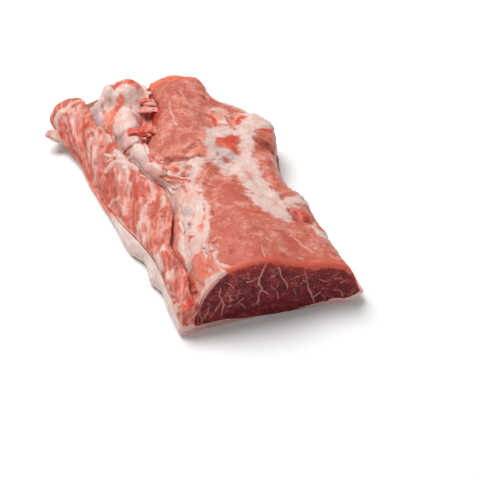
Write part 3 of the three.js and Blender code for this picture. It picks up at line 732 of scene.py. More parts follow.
def place(rings, s, length, lip=0.0):
    """Rings at their places along the loin: the last stretch narrows, and the two ends take their lines."""
    narrow = END_SHRINK * smooth(s, length - END_ROUND, length)[:, None] ** 2
    middle = rings.mean(1, keepdims=True)
    x = mix(rings[..., 0], middle[..., 0], narrow)
    z = mix(rings[..., 1], middle[..., 1], narrow * np.minimum(1.0, rings[..., 1] / middle[..., 1]))
    skew = CUT_SKEW * (1.0 - smooth(s, 0.0, CUT_SKEW_END))[:, None]
    pull = smooth(s, FAR_PULL_START, LENGTH)[:, None]
    jut = lip * (1.0 - smooth(s, 0.0, LIP_END))[:, None]
    jut = jut * smooth(np.abs(x - LIP_MIDDLE), LIP_INNER, LIP_OUTER)
    return np.stack([x, s[:, None] + skew * (CUT_RIGHT - x) - pull * along(FAR_PULL, x) - jut, z], -1)


def raised(grid, height):
    """A tube of rings moved out along its normals by a height at each point, and kept off the ground."""
    normal = np.cross(np.gradient(grid, axis=0), np.roll(grid, -1, 1) - np.roll(grid, 1, 1))
    normal /= np.maximum(np.linalg.norm(normal, axis=-1, keepdims=True), 1e-9)
    moved = grid + normal * height[..., None]
    moved[..., 2] = np.maximum(moved[..., 2], 0.0)
    return moved


def lay(name, tubes, material, node, stains):
    """Makes one piece of closed tubes of rings: quads between rings, a flat face over each end, stains."""
    faces = []
    curved = []
    first = 0
    for tube in tubes:
        rows, around = tube.shape[:2]
        index = first + np.arange(rows * around).reshape(rows, around)
        beside = np.roll(index, -1, 1)
        quads = np.stack([index[:-1], index[1:], beside[1:], beside[:-1]], -1)
        faces += [index[0].tolist(), index[-1][::-1].tolist(), *quads.reshape(-1, 4).tolist()]
        curved += [np.zeros(2, bool), np.ones(quads.size // 4, bool)]
        first += rows * around
    corners = np.concatenate([tube.reshape(-1, 3) for tube in tubes])
    mesh = bpy.data.meshes.new(name)
    mesh.from_pydata((corners - (CENTRE_X, CENTRE_S, 0.0)) * MM, [], faces)
    mesh.polygons.foreach_set("use_smooth", np.concatenate(curved))
    for field, values in stains.items():
        stored = mesh.attributes.new(field, "FLOAT", "POINT")
        stored.data.foreach_set("value", np.ravel(values).astype(np.float32))
    mesh.materials.append(material)
    piece = bpy.data.objects.new(name, mesh)
    bpy.context.collection.objects.link(piece)
    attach(piece, "root")
    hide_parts(node)


def eye_rings(s, over_count=170, wall_count=40, floor_count=30):
    """The eye muscle's cross-sections, anticlockwise as seen from the cut: floor, top and left wall. Also
    1 on the top, falling to 0 down the wall."""
    at = section(s)
    floor, _ = spline(at["slab"], floor_count)
    floor += pair(GAP * np.linspace(2.0, -1.0, floor_count), GAP)
    over, u = spline([at[name] for name in ("shoulder", "crest", "fall", "right", "tip")], over_count)
    over[..., 1] += np.sin(np.pi * u) ** 0.5 * mounds(over[..., 0], s[:, None], EYE_MOUNDS)
    wall, _ = spline(at["rise"], wall_count)
    wall += pair(GAP * np.linspace(2.0, 0.0, wall_count), 0.0)
    down_wall = smooth(np.linspace(1.0, 0.0, wall_count - 1), 0.7, 1.0)
    return joined([(floor, 0.0), (over[:, -2:0:-1], 1.0), (wall[:, :0:-1], down_wall)])


def strip_rings(s, outer_count=56, under_count=14, wall_count=8):
    """The rib strip's cross-sections: its bed, the crevice wall up to its ridge and its outer face down to
    its edge. Also the share of the way down the outer face, below 0 on the rest."""
    at = section(s)
    under, _ = spline(at["bed"], under_count)
    under += (-GAP, GAP)
    bulge = mix(at["edge"], at["ridge"], np.array(STRIP_BEND)) + (-STRIP_BULGE, STRIP_BULGE * 0.4)
    outer, u = spline([under[:, 0], bulge, at["ridge"]], outer_count)
    wall = mix(under[:, -1:], outer[:, -1:], np.linspace(0.0, 1.0, wall_count)[None, :, None])
    down = 1.0 - u[-2:0:-1]
    return joined([(under, -1.0), (wall[:, 1:-1], -1.0), (wall[:, -1:], 0.0), (outer[:, -2:0:-1], down)])


def fat_rings(s, floor_count=60, slab_count=26, cover_count=20, hem_count=5, seam_count=64, bed_count=12):
    """The fat cap's cross-sections: floor and right wrap, bed of the eye muscle, seam, bed of the strip and
    left side. Also the share of the way down the seam, below 0 elsewhere, and 1 where the surface shows."""
    at = section(s)
    foot, tip, edge, crevice = (at[name] for name in ("foot", "tip", "edge", "crevice"))
    outer = tip[:, 0] + along(FAT_WRAP, s)
    ground = [pair(foot[:, 0] + inward, 0.0) for inward in FLOOR_LEFT]
    ground += [pair(outer - inward, up) for inward, up in FLOOR_RIGHT]
    wrap = [pair(outer, tip[:, 1] + up) for up in (-WRAP_STARTS, FAT_WRAP_HEIGHT)]
    floor, _ = spline([foot, *ground, *wrap], floor_count)
    slab, _ = spline(at["slab"], slab_count)

    fine = 200
    rise = catmull(np.stack(at["rise"], 1), np.linspace(0.0, 1.0, fine))
    share = along(SEAM_COVER, s)[:, None] * np.linspace(0.0, 1.0, cover_count) * (fine - 1.0)
    low = np.minimum(share.astype(int), fine - 2)
    rows = np.arange(len(s))[:, None]
    covered = mix(rise[rows, low], rise[rows, low + 1], (share - low)[..., None])

    # The seam's edge, as places across and up from where its cover ends: an upper and a lower lip
    tucked = within(s, *TUCK)[:, None]
    waver = uneven(pair(s, np.zeros(1)), SEAM_EDGE_GRAIN)[:, None]
    over = along(SEAM_OVER, s)
    upper = pair(np.minimum(over, -0.4), 0.4) + waver * (0.6, 0.5)
    lower = pair(np.maximum(over, 0.6), -0.6) + waver * (1.0, 0.0)
    crown = covered[:, -1] + mix(np.array([-SEAM_THICKNESS, -0.5]), upper, tucked)
    tuck = covered[:, -1] + mix(np.array([0.2, -0.2]), lower, tucked)
    hem = mix(tuck[:, None], crown[:, None], np.linspace(0.0, 1.0, hem_count)[None, :, None])

    seam, u = spline([crevice, mix(crevice, crown, 0.5) + SEAM_MIDDLE, crown], seam_count)
    seam[..., 1] += np.sin(np.pi * u) ** 0.35 * mounds(seam[..., 0], s[:, None], FAT_MOUNDS)
    seam[..., 1] += CREVICE_FILL * (1.0 - u) ** 2 * within(s, *CREVICE_FILLED)[:, None]
    bed, _ = spline(at["bed"], bed_count)
    tail = (1.0 - smooth(np.abs(s - TAIL_AT), 0.0, TAIL_WIDTH / 2.0)) ** 0.5
    side = mix(foot, edge, np.array(SIDE_BEND)) + pair(-SIDE_BULGE - TAIL_LENGTH * tail, TAIL_RISE * tail)
    left, _ = spline([edge, side, foot], SIDE_COLUMNS + 2)
    rings, down, shown = joined([
        (floor, -1.0, 1.0),
        (slab[:, :0:-1], -1.0, 0.0),
        (covered, -1.0, 0.0),
        (hem[:, :-1], 0.0, 1.0),
        (seam[:, :0:-1], 1.0 - u[:0:-1], 1.0),
        (bed[:, ::-1], -1.0, 0.0),
        (left[:, 1:-1], -1.0, 1.0),
    ])
    rings[..., 1] = np.maximum(rings[..., 1], 0.0)
    return rings, down, shown


def cut_rounding(rings, on_top, edge):
    """Radii of the eye muscle's front edge around its ring: edge over the top, less at right and wall."""
    return mix(CUT_LEAST_EDGE, edge, on_top) * (1.0 - 0.5 * smooth(rings[0, :, 0], *CUT_ROUND_HALVES))


def cut_plate(edge, columns=320, rows=110):
    """The cut face as a plate: columns between its lower line and the eye muscle's outline, each running up
    the front of the plate, which bends back at its top by a quarter circle, and down its back. The front
    follows the lip of the fat. Also 1 on the front, and the distance down from the upper line."""
    rings, on_top = eye_rings(np.zeros(1))
    ring = rings[0]
    ring[:, 0] -= CUT_OVER_SEAM * (1.0 - on_top) * smooth(ring[:, 1], *CUT_OVER_SEAM_Z)
    upper = ring[np.argmax(on_top):][::-1]
    x = np.linspace(CUT_BOTTOM[0][0], CUT_BOTTOM[-1][0], columns)[:, None]
    bottom = np.interp(x, *np.array(CUT_BOTTOM, float).T)
    top = np.maximum(np.interp(x, upper[:, 0], upper[:, 1]) + 0.2, bottom + 0.3)
    up = np.linspace(0.0, 1.0, rows)
    up = 0.5 * (up + np.sin(np.pi / 2.0 * up))
    face = np.repeat([1.0, 0.0], rows)
    z = mix(bottom, top, np.concatenate([up, up[::-1]]))
    radius = edge * smooth(x, *CUT_ROUND_STARTS) * (1.0 - 0.5 * smooth(x, *CUT_ROUND_HALVES))
    radius += CUT_LEAST_EDGE
    t = np.clip(1.0 - (top - z) / radius, 0.0, 1.0)
    front = -CUT_PROUD - FRONT_LIP * smooth(np.abs(x - LIP_MIDDLE), LIP_INNER, LIP_OUTER)
    front -= CUT_PROUD_LEFT * (1.0 - smooth(x, *CUT_PROUD_ENDS))
    bent = front + radius * (1.0 - np.sqrt(1.0 - t * t))
    y = CUT_SKEW * (CUT_RIGHT - x) + np.where(face > 0, bent, np.maximum(CUT_BACK, front + radius + 0.3))
    return np.stack(np.broadcast_arrays(x, y, z), -1).copy(), face, top - z


def cords_of_flesh(paths, seed, flat, rows=40, around=20):
    """Lumpy tapering cords through places with half widths: rings across a smooth path, drawn in to points
    at both ends, less high than wide by the share flat, with their radius made uneven."""
    turn = np.linspace(0.0, 2.0 * np.pi, around, endpoint=False)[:, None]
    ends = np.sqrt(np.maximum(1.0 - np.linspace(-1.0, 1.0, rows) ** 8, 0.004))
    cords = []
    for number, path in enumerate(paths):
        line = catmull(np.array([path], float), np.linspace(0.0, 1.0, rows))[0]
        ahead = np.gradient(line[:, :3], axis=0)
        ahead /= np.linalg.norm(ahead, axis=1, keepdims=True)
        side = np.cross(ahead, (0.0, 0.0, 1.0))
        side /= np.linalg.norm(side, axis=1, keepdims=True)
        ring = np.cos(turn) * side[:, None] + flat * np.sin(turn) * np.cross(side, ahead)[:, None]
        lumpy = 1.0 + 0.5 * grain(line[:, None, :3] + 3.0 * ring, 3.5, seed + number)
        cords.append(line[:, None, :3] - ring * (line[:, 3] * ends)[:, None, None] * lumpy[..., None])
    return cords


def shader_node(tree, kind, inputs=None, **settings):
    """Adds a node of a kind with its settings, sets each input, or links it where the value is another
    node's output, and gives the node's outputs."""
    made = tree.nodes.new("ShaderNode" + kind)
    for name, value in settings.items():
        setattr(made, name, value)
    for key, value in (inputs or {}).items():
        if isinstance(value, bpy.types.NodeSocket):
            tree.links.new(value, made.inputs[key])
        else:
            made.inputs[key].default_value = value
    return made.outputs


def flesh(colours, name, tones, layers, mottle, streaks, flecks, threads, roughness, wet, bump):
    """A moist raw tissue. Its tones run from dark to pale in blotches of the size mottle and in streaks,
    which have a turn, a width, a length and a strength; pale flecks and dark pits of the size and strength
    flecks lie on it, and pale threads, which run where a noise of the size threads passes its middle. Each
    layer has a field, a pale and a deep colour, a raggedness, a softness and a strength, and shows where its
    field, torn by the streaks, passes one half. Sizes are in millimetres."""
    # Inputs whose names repeat or are long go by number. MapRange: 0 value, 1 and 2 its range, 3 and 4 what
    # that becomes. Mix: 0 share, 6 and 7 the two colours, and output 2 their mix
    material = bpy.data.materials.new(name)
    material.use_nodes = True
    tree = material.node_tree
    tree.nodes.clear()
    add = functools.partial(shader_node, tree)
    tint = {key: (*getattr(colours, key), 1.0) for key in COLOURS}
    turn, wide, long, pull = streaks
    at = add("TexCoord")["Object"]
    stretch = {"Vector": at, "Rotation": turn, "Scale": (long / wide, 1.0, 1.0)}
    drawn = add("Mapping", stretch, vector_type="TEXTURE")[0]
    noises = [(at, mottle, 4.0), (drawn, wide, 2.0), (drawn, 3.0 * wide, 5.0), (at, flecks[0], 1.0),
              (drawn, threads[0], 3.0)]
    blotch, streak, torn, speck, level = (
        add("TexNoise", {"Vector": vector, "Scale": 1.0 / (size * MM), "Detail": fine, "Roughness": 0.62})[0]
        for vector, size, fine in noises
    )
    half = add("Math", {0: streak, 1: pull, 2: 0.5 - 0.5 * pull}, operation="MULTIPLY_ADD")[0]
    both = add("Math", {0: blotch, 1: half}, operation="ADD")[0]
    spread = add("MapRange", {0: both, 1: 0.7, 2: 1.3}, interpolation_type="SMOOTHSTEP")[0]
    colour = add("ValToRGB", {0: spread})[0]
    stops = colour.node.color_ramp.elements
    stops.new(0.5)
    for stop, tone in zip(stops, tones):
        stop.color = tint[tone]

    off = add("Math", {0: level, 1: 0.5}, operation="SUBTRACT")[0]
    away = add("Math", {0: off}, operation="ABSOLUTE")[0]
    broken = add("MapRange", {0: blotch, 1: 0.45, 2: 0.6, 4: threads[1]}, interpolation_type="SMOOTHSTEP")[0]
    # What lies over the tones, from below: a value, the range in which it rises to show, strength, colour
    covers = [
        (speck, 0.62, 0.78, flecks[1], tint[tones[3]]),
        (speck, 0.38, 0.22, flecks[1], tint[tones[0]]),
        (away, 0.03, 0.0, broken, tint[tones[3]]),
    ]
    for field, pale, deep, rag, soft, most in layers:
        stored = add("Attribute", attribute_name=field)["Fac"]
        ragged = add("Math", {0: torn, 1: rag, 2: stored}, operation="MULTIPLY_ADD")[0]
        middle = 0.5 + 0.5 * rag
        tone = add("Mix", {0: spread, 6: tint[deep], 7: tint[pale]}, data_type="RGBA")[2]
        covers.append((ragged, middle - soft, middle + soft, most, tone))
    for value, low, high, most, tone in covers:
        share = add("MapRange", {0: value, 1: low, 2: high, 4: most}, interpolation_type="SMOOTHSTEP")[0]
        colour = add("Mix", {0: share, 6: colour, 7: tone}, data_type="RGBA")[2]

    shine = add("MapRange", {0: torn, 1: 0.3, 2: 0.7, 3: roughness - 0.1, 4: roughness + 0.1})[0]
    height = add("Math", {0: both, 1: speck}, operation="ADD")[0]
    dent = add("Bump", {"Height": height, "Strength": 1.0, "Distance": bump * MM})[0]
    body = add("BsdfPrincipled", {
        "Base Color": colour, "Roughness": shine, "Normal": dent, "IOR": 1.38, "Specular IOR Level": 0.3,
        "Coat Weight": wet, "Coat Roughness": 0.13, "Coat IOR": 1.33, "Subsurface Weight": 0.12,
        "Subsurface Radius": (1.0, 0.35, 0.25), "Subsurface Scale": 3.0 * MM,
    })[0]
    add("OutputMaterial", {"Surface": body})
    return material


def aimed(name, data, at, target):
    """Puts a lamp or camera at a place, looking at a target."""
    item = bpy.data.objects.new(name, data)
    bpy.context.collection.objects.link(item)
    item.location = at
    item.rotation_euler = (Vector(target) - Vector(at)).to_track_quat("-Z", "Y").to_euler()
    return item


class LoinSizes(bpy.types.PropertyGroup):
    """Sizes of the loin's surface detail."""

    step: bpy.props.FloatProperty(
        name="Mesh step", description="Distance between cross-sections", default=1.15 * MM, unit="LENGTH"
    )
    cut_edge: bpy.props.FloatProperty(
        name="Cut edge", description="Rounding of the cut's upper edge", default=5.0 * MM, unit="LENGTH"
    )
    rib_height: bpy.props.FloatProperty(
        name="Rib height", description="Height of the strip's ribs", default=1.6 * MM, unit="LENGTH"
    )
    fat_rise: bpy.props.FloatProperty(
        name="Fat rise", description="How far patches of fat stand up", default=0.7 * MM, unit="LENGTH"
    )


class LoinColours(bpy.types.PropertyGroup):
    """Colours of the loin's tissues."""

    __annotations__ = {
        key: bpy.props.FloatVectorProperty(name=name, description=what, subtype="COLOR", default=linear(hue))
        for key, (name, what, hue) in COLOURS.items()
    }


class LOIN_OT_eye_muscle(bpy.types.Operator):
    """Makes the broad eye muscle with its patches of fat"""

    bl_idname = "loin.eye_muscle"
    bl_label = "Eye muscle"

    def execute(self, context):
        sizes, colours = context.scene.loin_sizes, context.scene.loin_colours
        edge = sizes.cut_edge / MM
        s = stations(EYE_LENGTH, sizes.step / MM, edge, EYE_BACK)
        line = s[:, None]
        rings, top = eye_rings(s)
        radii = cut_rounding(rings, top, edge)
        grid = place(rounded(rings, s, EYE_LENGTH, radii, EYE_BACK), s, EYE_LENGTH)
        x, y, _ = np.moveaxis(grid, -1, 0)
        stains = stains_of(x, grid, {
            "dim": (EYE_DIM, 9.0, 3.0),
            "fat": (EYE_FAT, 7.0, 3.0),
            "sinew": (EYE_SINEW_AND_SHADE, 4.0, 1.5),
            "blush": (EYE_BLUSH, 5.0, 2.0),
            "blood": (EYE_BLOOD, 3.5, 2.0),
            "shade": (EYE_SHADE, 2.5, 1.5),
            "thread": (EYE_THREAD, 1.4, 1.5),
        })
        wall = (1.0 - smooth(top, 0.6, 1.0)) * smooth(line, *WALL_FREE)
        away = np.linalg.norm(rings - section(s)["shoulder"][:, None], axis=-1)
        brow = (1.0 - smooth(away, 0.0, BROW_WIDTH)) * within(line, *BROW)
        fringe = within(x, *FRINGE_X) * (1.0 - smooth(y, *FRINGE_ENDS)) * top
        ragged = y + 2.0 * grain(grid, 7.0, 4)
        # Painted shade along the far muscle's soft left edge, where it falls away into the gap; the same
        # edge is lowered below
        stains["dim"] = np.maximum(stains["dim"], 0.8 * brow)
        stains["blood"] = np.maximum(stains["blood"], 0.75 * wall)
        stains["fresh"] = np.clip(0.5 - (line - FRESH_MIDDLE) / FRESH_FADE, 0.0, 1.0) * top
        stains["fringe"] = fringe * np.clip((ragged - FRINGE_START) / FRINGE_FADE, 0.0, 1.0)
        height = sizes.fat_rise / MM * smooth(stains["fat"], 0.3, 0.7)
        height -= EYE_CREASE * smooth(stains["shade"], 0.2, 0.8)
        height += pillows(x, grid, EYE_LUMPS, 2.0) * top
        height -= BROW_DROP * brow + FAR_DROP * smooth(line, *FAR_DROPS) * top
        height += uneven(grid, EYE_GRAIN)
        height *= smooth(line, *EYE_RELIEF_STARTS)
        tones = ("lean_dark", "lean", "lean_pale", "fat_pink")
        layers = [
            ("dim", "rib", "lean_dark", 0.9, 0.35, 0.75),
            ("fat", "fat_white", "fat_pink", 1.1, 0.2, 0.92),
            ("sinew", "fat", "sinew", 0.6, 0.2, 0.95),
            ("blush", "orange", "lean_pale", 1.2, 0.25, 0.75),
            ("blood", "fresh", "blood", 1.0, 0.16, 0.9),
            ("fresh", "fresh", "fresh", 1.6, 0.5, 0.45),
            ("fringe", "orange", "fresh", 0.8, 0.3, 0.9),
            ("shade", "lean_dark", "hollow", 0.6, 0.25, 0.75),
            ("thread", "fat", "fat", 0.4, 0.25, 0.6),
        ]
        # Muscle under a torn silverskin; broken fibres and flecks of fat give the eye its fine grain
        lean = flesh(
            colours, "raw_pork_lean", tones, layers, mottle=12.0, flecks=(1.4, 0.6), threads=(9.0, 0.6),
            streaks=((0.0, 0.0, -0.4), 1.5, 3.0, 0.6), roughness=0.5, wet=0.22, bump=0.45,
        )
        lay("eye_muscle_flesh", [raised(grid, height)], lean, "eye_muscle", stains)
        return {"FINISHED"}


class LOIN_OT_cut_face(bpy.types.Operator):
    """Makes the freshly cut face of the loin, with its marbling"""

    bl_idname = "loin.cut_face"
    bl_label = "Cut face"

    def execute(self, context):
        sizes, colours = context.scene.loin_sizes, context.scene.loin_colours
        grid, face, depth = cut_plate(sizes.cut_edge / MM)
        upright = grid[..., [0, 2, 1]]
        x = grid[..., 0]
        ragged = grain(upright, 9.0, 23)
        film = np.clip(1.0 - depth / (FILM_DEPTH + FILM_WAVER * ragged), 0.0, 1.0)
        film = np.maximum(film * (1.0 - smooth(x, *FILM_ENDS)), 1.0 - smooth(x, *FILM_LEFT))
        brim_lean_and_light = BRIM_DEPTH + BRIM_MORE * smooth(x, *BRIM_GROWS) + BRIM_WAVER * ragged
        lean_edge = smooth(x, *RIM_STARTS)
        # The rim is painted a lighter red, painted light where the rounded upper edge catches it; the brim
        # carries the top's lean over that edge and paints light below it
        stains = {
            "vein": np.maximum(stain(x, upright, VEINS, 0.9, 1.6) * face, film),
            "lit_rim": np.clip(1.0 - depth / RIM_DEPTH, 0.0, 1.0) * lean_edge,
            "brim_lean_and_light": np.clip(1.0 - depth / brim_lean_and_light, 0.0, 1.0) * lean_edge,
            "deep": 0.8 * smooth(depth, *CUT_DARKENS),
        }
        height = uneven(grid, CUT_GRAIN) + VEIN_RISE * smooth(stains["vein"], 0.4, 0.8)
        grid[..., 1] -= face * height
        tones = ("cut_dark", "cut", "cut_pale", "vein")
        layers = [
            ("deep", "cut", "cut_dark", 0.8, 0.5, 0.6),
            ("vein", "vein", "vein", 1.2, 0.25, 0.85),
            ("lit_rim", "blood", "blood", 1.4, 0.4, 0.6),
            ("brim_lean_and_light", "lean", "fresh", 1.6, 0.22, 0.9),
        ]
        # Fibres cut across, dark and moist, with threads of fat between their bundles
        lean = flesh(
            colours, "fresh_cut_pork_lean", tones, layers, mottle=8.0, flecks=(1.2, 0.75),
            threads=(4.5, 0.6), streaks=((0.0, 0.5, 0.0), 1.4, 3.0, 0.6), roughness=0.5, wet=0.05, bump=0.2,
        )
        lay("cut_face_lean", [grid], lean, "eye_muscle", stains)
        return {"FINISHED"}


class LOIN_OT_rib_strip(bpy.types.Operator):
    """Makes the narrow streaky rib strip along the left side"""

    bl_idname = "loin.rib_strip"
    bl_label = "Rib strip"

    def execute(self, context):
        sizes, colours = context.scene.loin_sizes, context.scene.loin_colours
        s = stations(STRIP_LENGTH, sizes.step / MM, *STRIP_ENDS)
        line = s[:, None]
        rings, share = strip_rings(s)
        grid = place(rounded(rings, s, STRIP_LENGTH, *STRIP_ENDS), s, STRIP_LENGTH, FRONT_LIP)
        across = np.broadcast_to(STRIP_WIDTH * share, grid.shape[:2])
        outer = share >= 0.0
        stains = stains_of(across, grid, {
            "fat": (STRIP_FAT, 4.0, 2.5),
            "blood": (STRIP_BLOOD, 3.0, 2.0),
            "shade": (STRIP_SHADE, 1.8, 1.5),
            "shred": ([chain for chain, _ in STRIP_LUMPS], 0.8, 1.2),
        })
        stains["film"] = np.full(grid.shape[:2], STRIP_FILM)
        stains = {name: field * outer for name, field in stains.items()}
        wave = np.sin(2.0 * np.pi * (line + RIB_SLANT * share) / RIB_SPACING + 0.9 * grain(grid, 20.0, 5))
        bow = np.sin(np.pi * np.maximum(share, 0.0))
        end = smooth(line, *STRIP_FAR)
        height = sizes.rib_height / MM * bow * wave * (1.0 - end) + STRIP_FAR_BULGE * np.sqrt(bow) * end
        height += STRIP_FAT_RISE * smooth(stains["fat"], 0.1, 0.9)
        height -= STRIP_CREASE * smooth(stains["shade"], 0.2, 0.9)
        height += pillows(across, grid, STRIP_LUMPS, 1.2)
        height += mix(EDGE_IN, EDGE_OUT, smooth(line, *EDGE_CLEAR)) * smooth(share, *EDGE_SHARE)
        height = height * outer + uneven(grid, STRIP_GRAIN)
        tones = ("lean_dark", "rib", "lean_pale", "fat_pink")
        layers = [
            ("film", "blush", "lean_pale", 1.8, 0.35, 0.6),
            ("fat", "fat", "fat_pink", 1.2, 0.25, 0.85),
            ("blood", "fresh", "blood", 1.0, 0.2, 0.85),
            ("shade", "lean_dark", "hollow", 0.6, 0.25, 0.7),
            ("shred", "fat", "fat_pink", 0.4, 0.3, 0.95),
        ]
        # Thin muscle between the ribs' beds: long pale and red fibres that run aslant, with films of fat
        lean = flesh(
            colours, "raw_pork_rib_lean", tones, layers, mottle=16.0, flecks=(1.5, 0.2), threads=(14.0, 0.5),
            streaks=((0.0, -0.3, 1.28), 4.5, 30.0, 1.3), roughness=0.45, wet=0.3, bump=0.45,
        )
        lay("rib_strip_flesh", [raised(grid, height)], lean, "rib_strip", stains)
        return {"FINISHED"}


class LOIN_OT_strands(bpy.types.Operator):
    """Makes the red strands across the gap beside the far muscle, and the crumbs of fat in it"""

    bl_idname = "loin.strands"
    bl_label = "Strands and crumbs"

    def execute(self, context):
        colours = context.scene.loin_colours
        tones = ("blood", "fresh", "fresh", "lean_pale")
        layers = [("merge", "lean_pale", "lean", 0.8, 0.3, 0.9)]
        # Bloodshot bundles of muscle fibre pulled loose from their neighbours
        red = flesh(
            colours, "bloodshot_pork_strand", tones, layers, mottle=8.0, flecks=(1.5, 0.4),
            threads=(6.0, 0.4), streaks=((0.0, 0.0, 0.5), 1.5, 8.0, 0.6), roughness=0.4, wet=0.2, bump=0.3,
        )
        strands = np.array(cords_of_flesh(STRANDS, seed=40, flat=0.45))
        merge = np.linspace(-0.6, 1.0, strands.shape[1])[:, None]
        stains = {"merge": np.broadcast_to(merge, strands.shape[:3])}
        lay("red_strands", strands, red, "eye_muscle", stains)
        tones = ("fresh", "blush", "fat", "blood")
        # Crumbs of fat with meat on them, left in the gap
        pale = flesh(
            colours, "pork_fat_crumbs", tones, [], mottle=5.0, flecks=(1.5, 0.6), threads=(6.0, 0.3),
            streaks=((0.0, 0.0, 0.5), 1.5, 3.0, 0.6), roughness=0.45, wet=0.15, bump=0.3,
        )
        lay("fat_bits", cords_of_flesh(CRUMBS, seed=47, flat=0.4), pale, "fat_cap", {})
        return {"FINISHED"}


class LOIN_OT_fat_cap(bpy.types.Operator):
    """Makes the fat cap that the loin lies on, with the seam of fat between the muscles"""

    bl_idname = "loin.fat_cap"
    bl_label = "Fat cap"

    def execute(self, context):
        sizes, colours = context.scene.loin_sizes, context.scene.loin_colours
        s = stations(LENGTH, sizes.step / MM, *FAT_ENDS)
        line = s[:, None]
        rings, share, shown = fat_rings(s)
        grid = place(rounded(rings, s, LENGTH, *FAT_ENDS), s, LENGTH, FRONT_LIP)
        x, _, z = np.moveaxis(grid, -1, 0)
        across = np.broadcast_to(SEAM_WIDTH * share, grid.shape[:2])
        seam = share >= 0.0
        stains = stains_of(across, grid, {
            "blush": (SEAM_BLUSH, 5.0, 2.0),
            "orange": (SEAM_ORANGE, 3.0, 2.0),
            "lean": (SEAM_LEAN, 3.5, 2.0),
            "sinew": (SEAM_SINEW_AND_SHADE, 3.5, 2.0),
            "blood": (SEAM_BLOOD, 3.0, 2.0),
            "shade": (SEAM_SHADE, 1.8, 1.0),
        })
        stains = {name: seam * field for name, field in stains.items()}
        tip, lip = (along(knots, line) for knots in LINES["tip"])
        outside = along(LINES["foot"][0], line) - x
        below_edge = np.arange(grid.shape[1]) - (grid.shape[1] - SIDE_COLUMNS)
        left = below_edge >= 0
        front = within(x, *STRIP_FRONT) * (1.0 - smooth(line, *STRIP_FRONT_S)) * smooth(z, *STRIP_FRONT_Z)
        wrap = smooth(x, *(tip - inward for inward in WRAP_TO))
        wrap = wrap * smooth(z, *(lip - down for down in WRAP_DOWN))
        more = {
            "blood": 0.7 * front,
            "orange": 0.4 * smooth(outside, *TAIL_ORANGE),
            "lean": 0.8 * left * within(line, *SIDE_LEAN),
            "blush": 0.6 * (1.0 - smooth(line, *FRONT_BLUSH)),
        }
        stains |= {name: np.maximum(stains[name], field) for name, field in more.items()}
        thinner = sum(less * smooth(line, low, high) for low, high, less in SEAM_FILM_THINS)
        stains["film"] = seam * (SEAM_FILM - thinner)
        stains["wrap"] = wrap * smooth(line, *WRAP_FROM)
        fade = np.sin(np.pi * np.clip(share, 0.0, 1.0)) ** 0.3
        height = pillows(across, grid, SEAM_LUMPS, 2.0)
        height -= SEAM_CREASE * smooth(stains["shade"], 0.2, 0.9)
        height *= seam * fade
        height += shown * uneven(grid, FAT_GRAIN)
        height += TAIL_SWELL * smooth(outside, *TAIL_SWELLS)
        swell = SIDE_SWELL * left * np.clip(1.0 - below_edge / SIDE_SWELL_COLUMNS, 0.0, 1.0)
        height += swell * (1.0 - smooth(line, *EDGE_CLEAR))
        height *= smooth(line, *FAT_RELIEF_STARTS)
        tones = ("fat_pink", "fat", "fat_white", "fat_white")
        layers = [
            ("film", "blush", "orange", 1.6, 0.3, 0.6),
            ("blush", "fat_pink", "blush", 0.8, 0.3, 0.8),
            ("orange", "orange", "fresh", 1.0, 0.25, 0.85),
            ("lean", "lean_pale", "fresh", 1.2, 0.16, 0.92),
            ("sinew", "sinew", "sinew", 0.8, 0.25, 0.85),
            ("blood", "fresh", "blood", 1.0, 0.16, 0.9),
            ("shade", "lean_dark", "hollow", 0.5, 0.25, 0.8),
            ("wrap", "lean", "lean_dark", 0.6, 0.3, 0.95),
        ]
        # Firm white fat with a waxy face, blushed where meat was pulled off it
        fat = flesh(
            colours, "raw_pork_fat", tones, layers, mottle=14.0, flecks=(2.0, 0.3), threads=(12.0, 0.2),
            streaks=((0.0, 0.0, 1.3), 2.2, 7.0, 0.8), roughness=0.46, wet=0.3, bump=0.45,
        )
        lay("fat_cap_fat", [raised(grid, height)], fat, "fat_cap", stains)
        return {"FINISHED"}


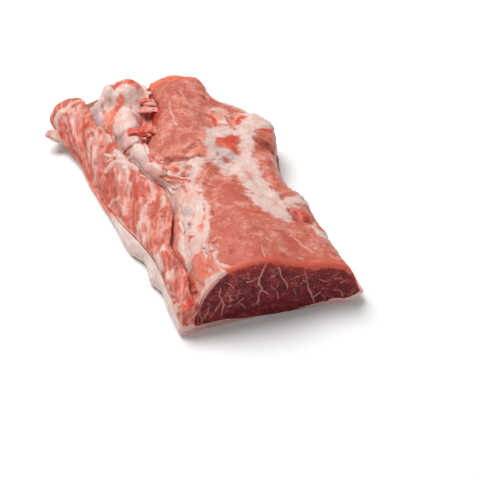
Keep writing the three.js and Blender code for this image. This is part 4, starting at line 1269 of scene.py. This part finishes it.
class LOIN_OT_stage(bpy.types.Operator):
    """Makes the floor, the lights and the camera"""

    bl_idname = "loin.stage"
    bl_label = "Stage"

    def execute(self, context):
        scene = context.scene
        scene.view_settings.view_transform = "Standard"
        mesh = bpy.data.meshes.new("floor")
        corners = np.array([(-1, -1, 0), (1, -1, 0), (1, 1, 0), (-1, 1, 0)]) * FLOOR_HALF
        mesh.from_pydata(corners, [], [(0, 1, 2, 3)])
        # Matt white paper: all but plain white, with no gloss
        paper = bpy.data.materials.new("matt_white_paper")
        paper.use_nodes = True
        surface = paper.node_tree.nodes["Principled BSDF"].inputs
        surface["Base Color"].default_value = (*linear(FLOOR_COLOUR), 1.0)
        surface["Roughness"].default_value = 0.9
        mesh.materials.append(paper)
        floor = bpy.data.objects.new("floor", mesh)
        context.collection.objects.link(floor)

        scene.world = bpy.data.worlds.new("soft_studio")
        scene.world.use_nodes = True
        sky = scene.world.node_tree.nodes["Background"].inputs
        sky["Color"].default_value = (*linear(WORLD_COLOUR), 1.0)
        sky["Strength"].default_value = WORLD_LIGHT
        for name, (size, power, at) in LAMPS.items():
            lamp = bpy.data.lights.new(name, "AREA")
            lamp.shape = "DISK"
            lamp.size = size
            lamp.energy = power
            aimed(name, lamp, at, (0.0, 0.0, 0.0))

        aim = np.array([AIM[0] - CENTRE_X, AIM[1] - CENTRE_S, 0.0]) * MM
        level = np.cos(ELEVATION)
        back = np.array([np.sin(AZIMUTH) * level, -np.cos(AZIMUTH) * level, np.sin(ELEVATION)])
        lens = bpy.data.cameras.new("camera")
        lens.lens = LENS
        lens.sensor_width = SENSOR
        scene.camera = aimed("camera", lens, aim + back * DISTANCE, aim)
        return {"FINISHED"}


PIECES = (
    LOIN_OT_eye_muscle,
    LOIN_OT_cut_face,
    LOIN_OT_rib_strip,
    LOIN_OT_strands,
    LOIN_OT_fat_cap,
    LOIN_OT_stage,
)


class LOIN_PT_panel(bpy.types.Panel):
    """Lists the loin's pieces"""

    bl_idname = "LOIN_PT_panel"
    bl_label = "Raw pork loin"
    bl_space_type = "VIEW_3D"
    bl_region_type = "UI"
    bl_category = "Loin"

    def draw(self, context):
        for piece in PIECES:
            self.layout.operator(piece.bl_idname)


CLASSES = (LoinSizes, LoinColours, *PIECES, LOIN_PT_panel)


def register():
    """Registers the classes and hangs the settings on the scene."""
    for cls in CLASSES:
        bpy.utils.register_class(cls)
    bpy.types.Scene.loin_sizes = bpy.props.PointerProperty(type=LoinSizes)
    bpy.types.Scene.loin_colours = bpy.props.PointerProperty(type=LoinColours)


def unregister():
    """Takes the settings and the classes away again."""
    del bpy.types.Scene.loin_colours
    del bpy.types.Scene.loin_sizes
    for cls in reversed(CLASSES):
        bpy.utils.unregister_class(cls)


def main():
    """Makes every piece and the stage."""
    register()
    bpy.ops.loin.eye_muscle()
    bpy.ops.loin.cut_face()
    bpy.ops.loin.rib_strip()
    bpy.ops.loin.strands()
    bpy.ops.loin.fat_cap()
    bpy.ops.loin.stage()


if __name__ == "__main__":
    main()
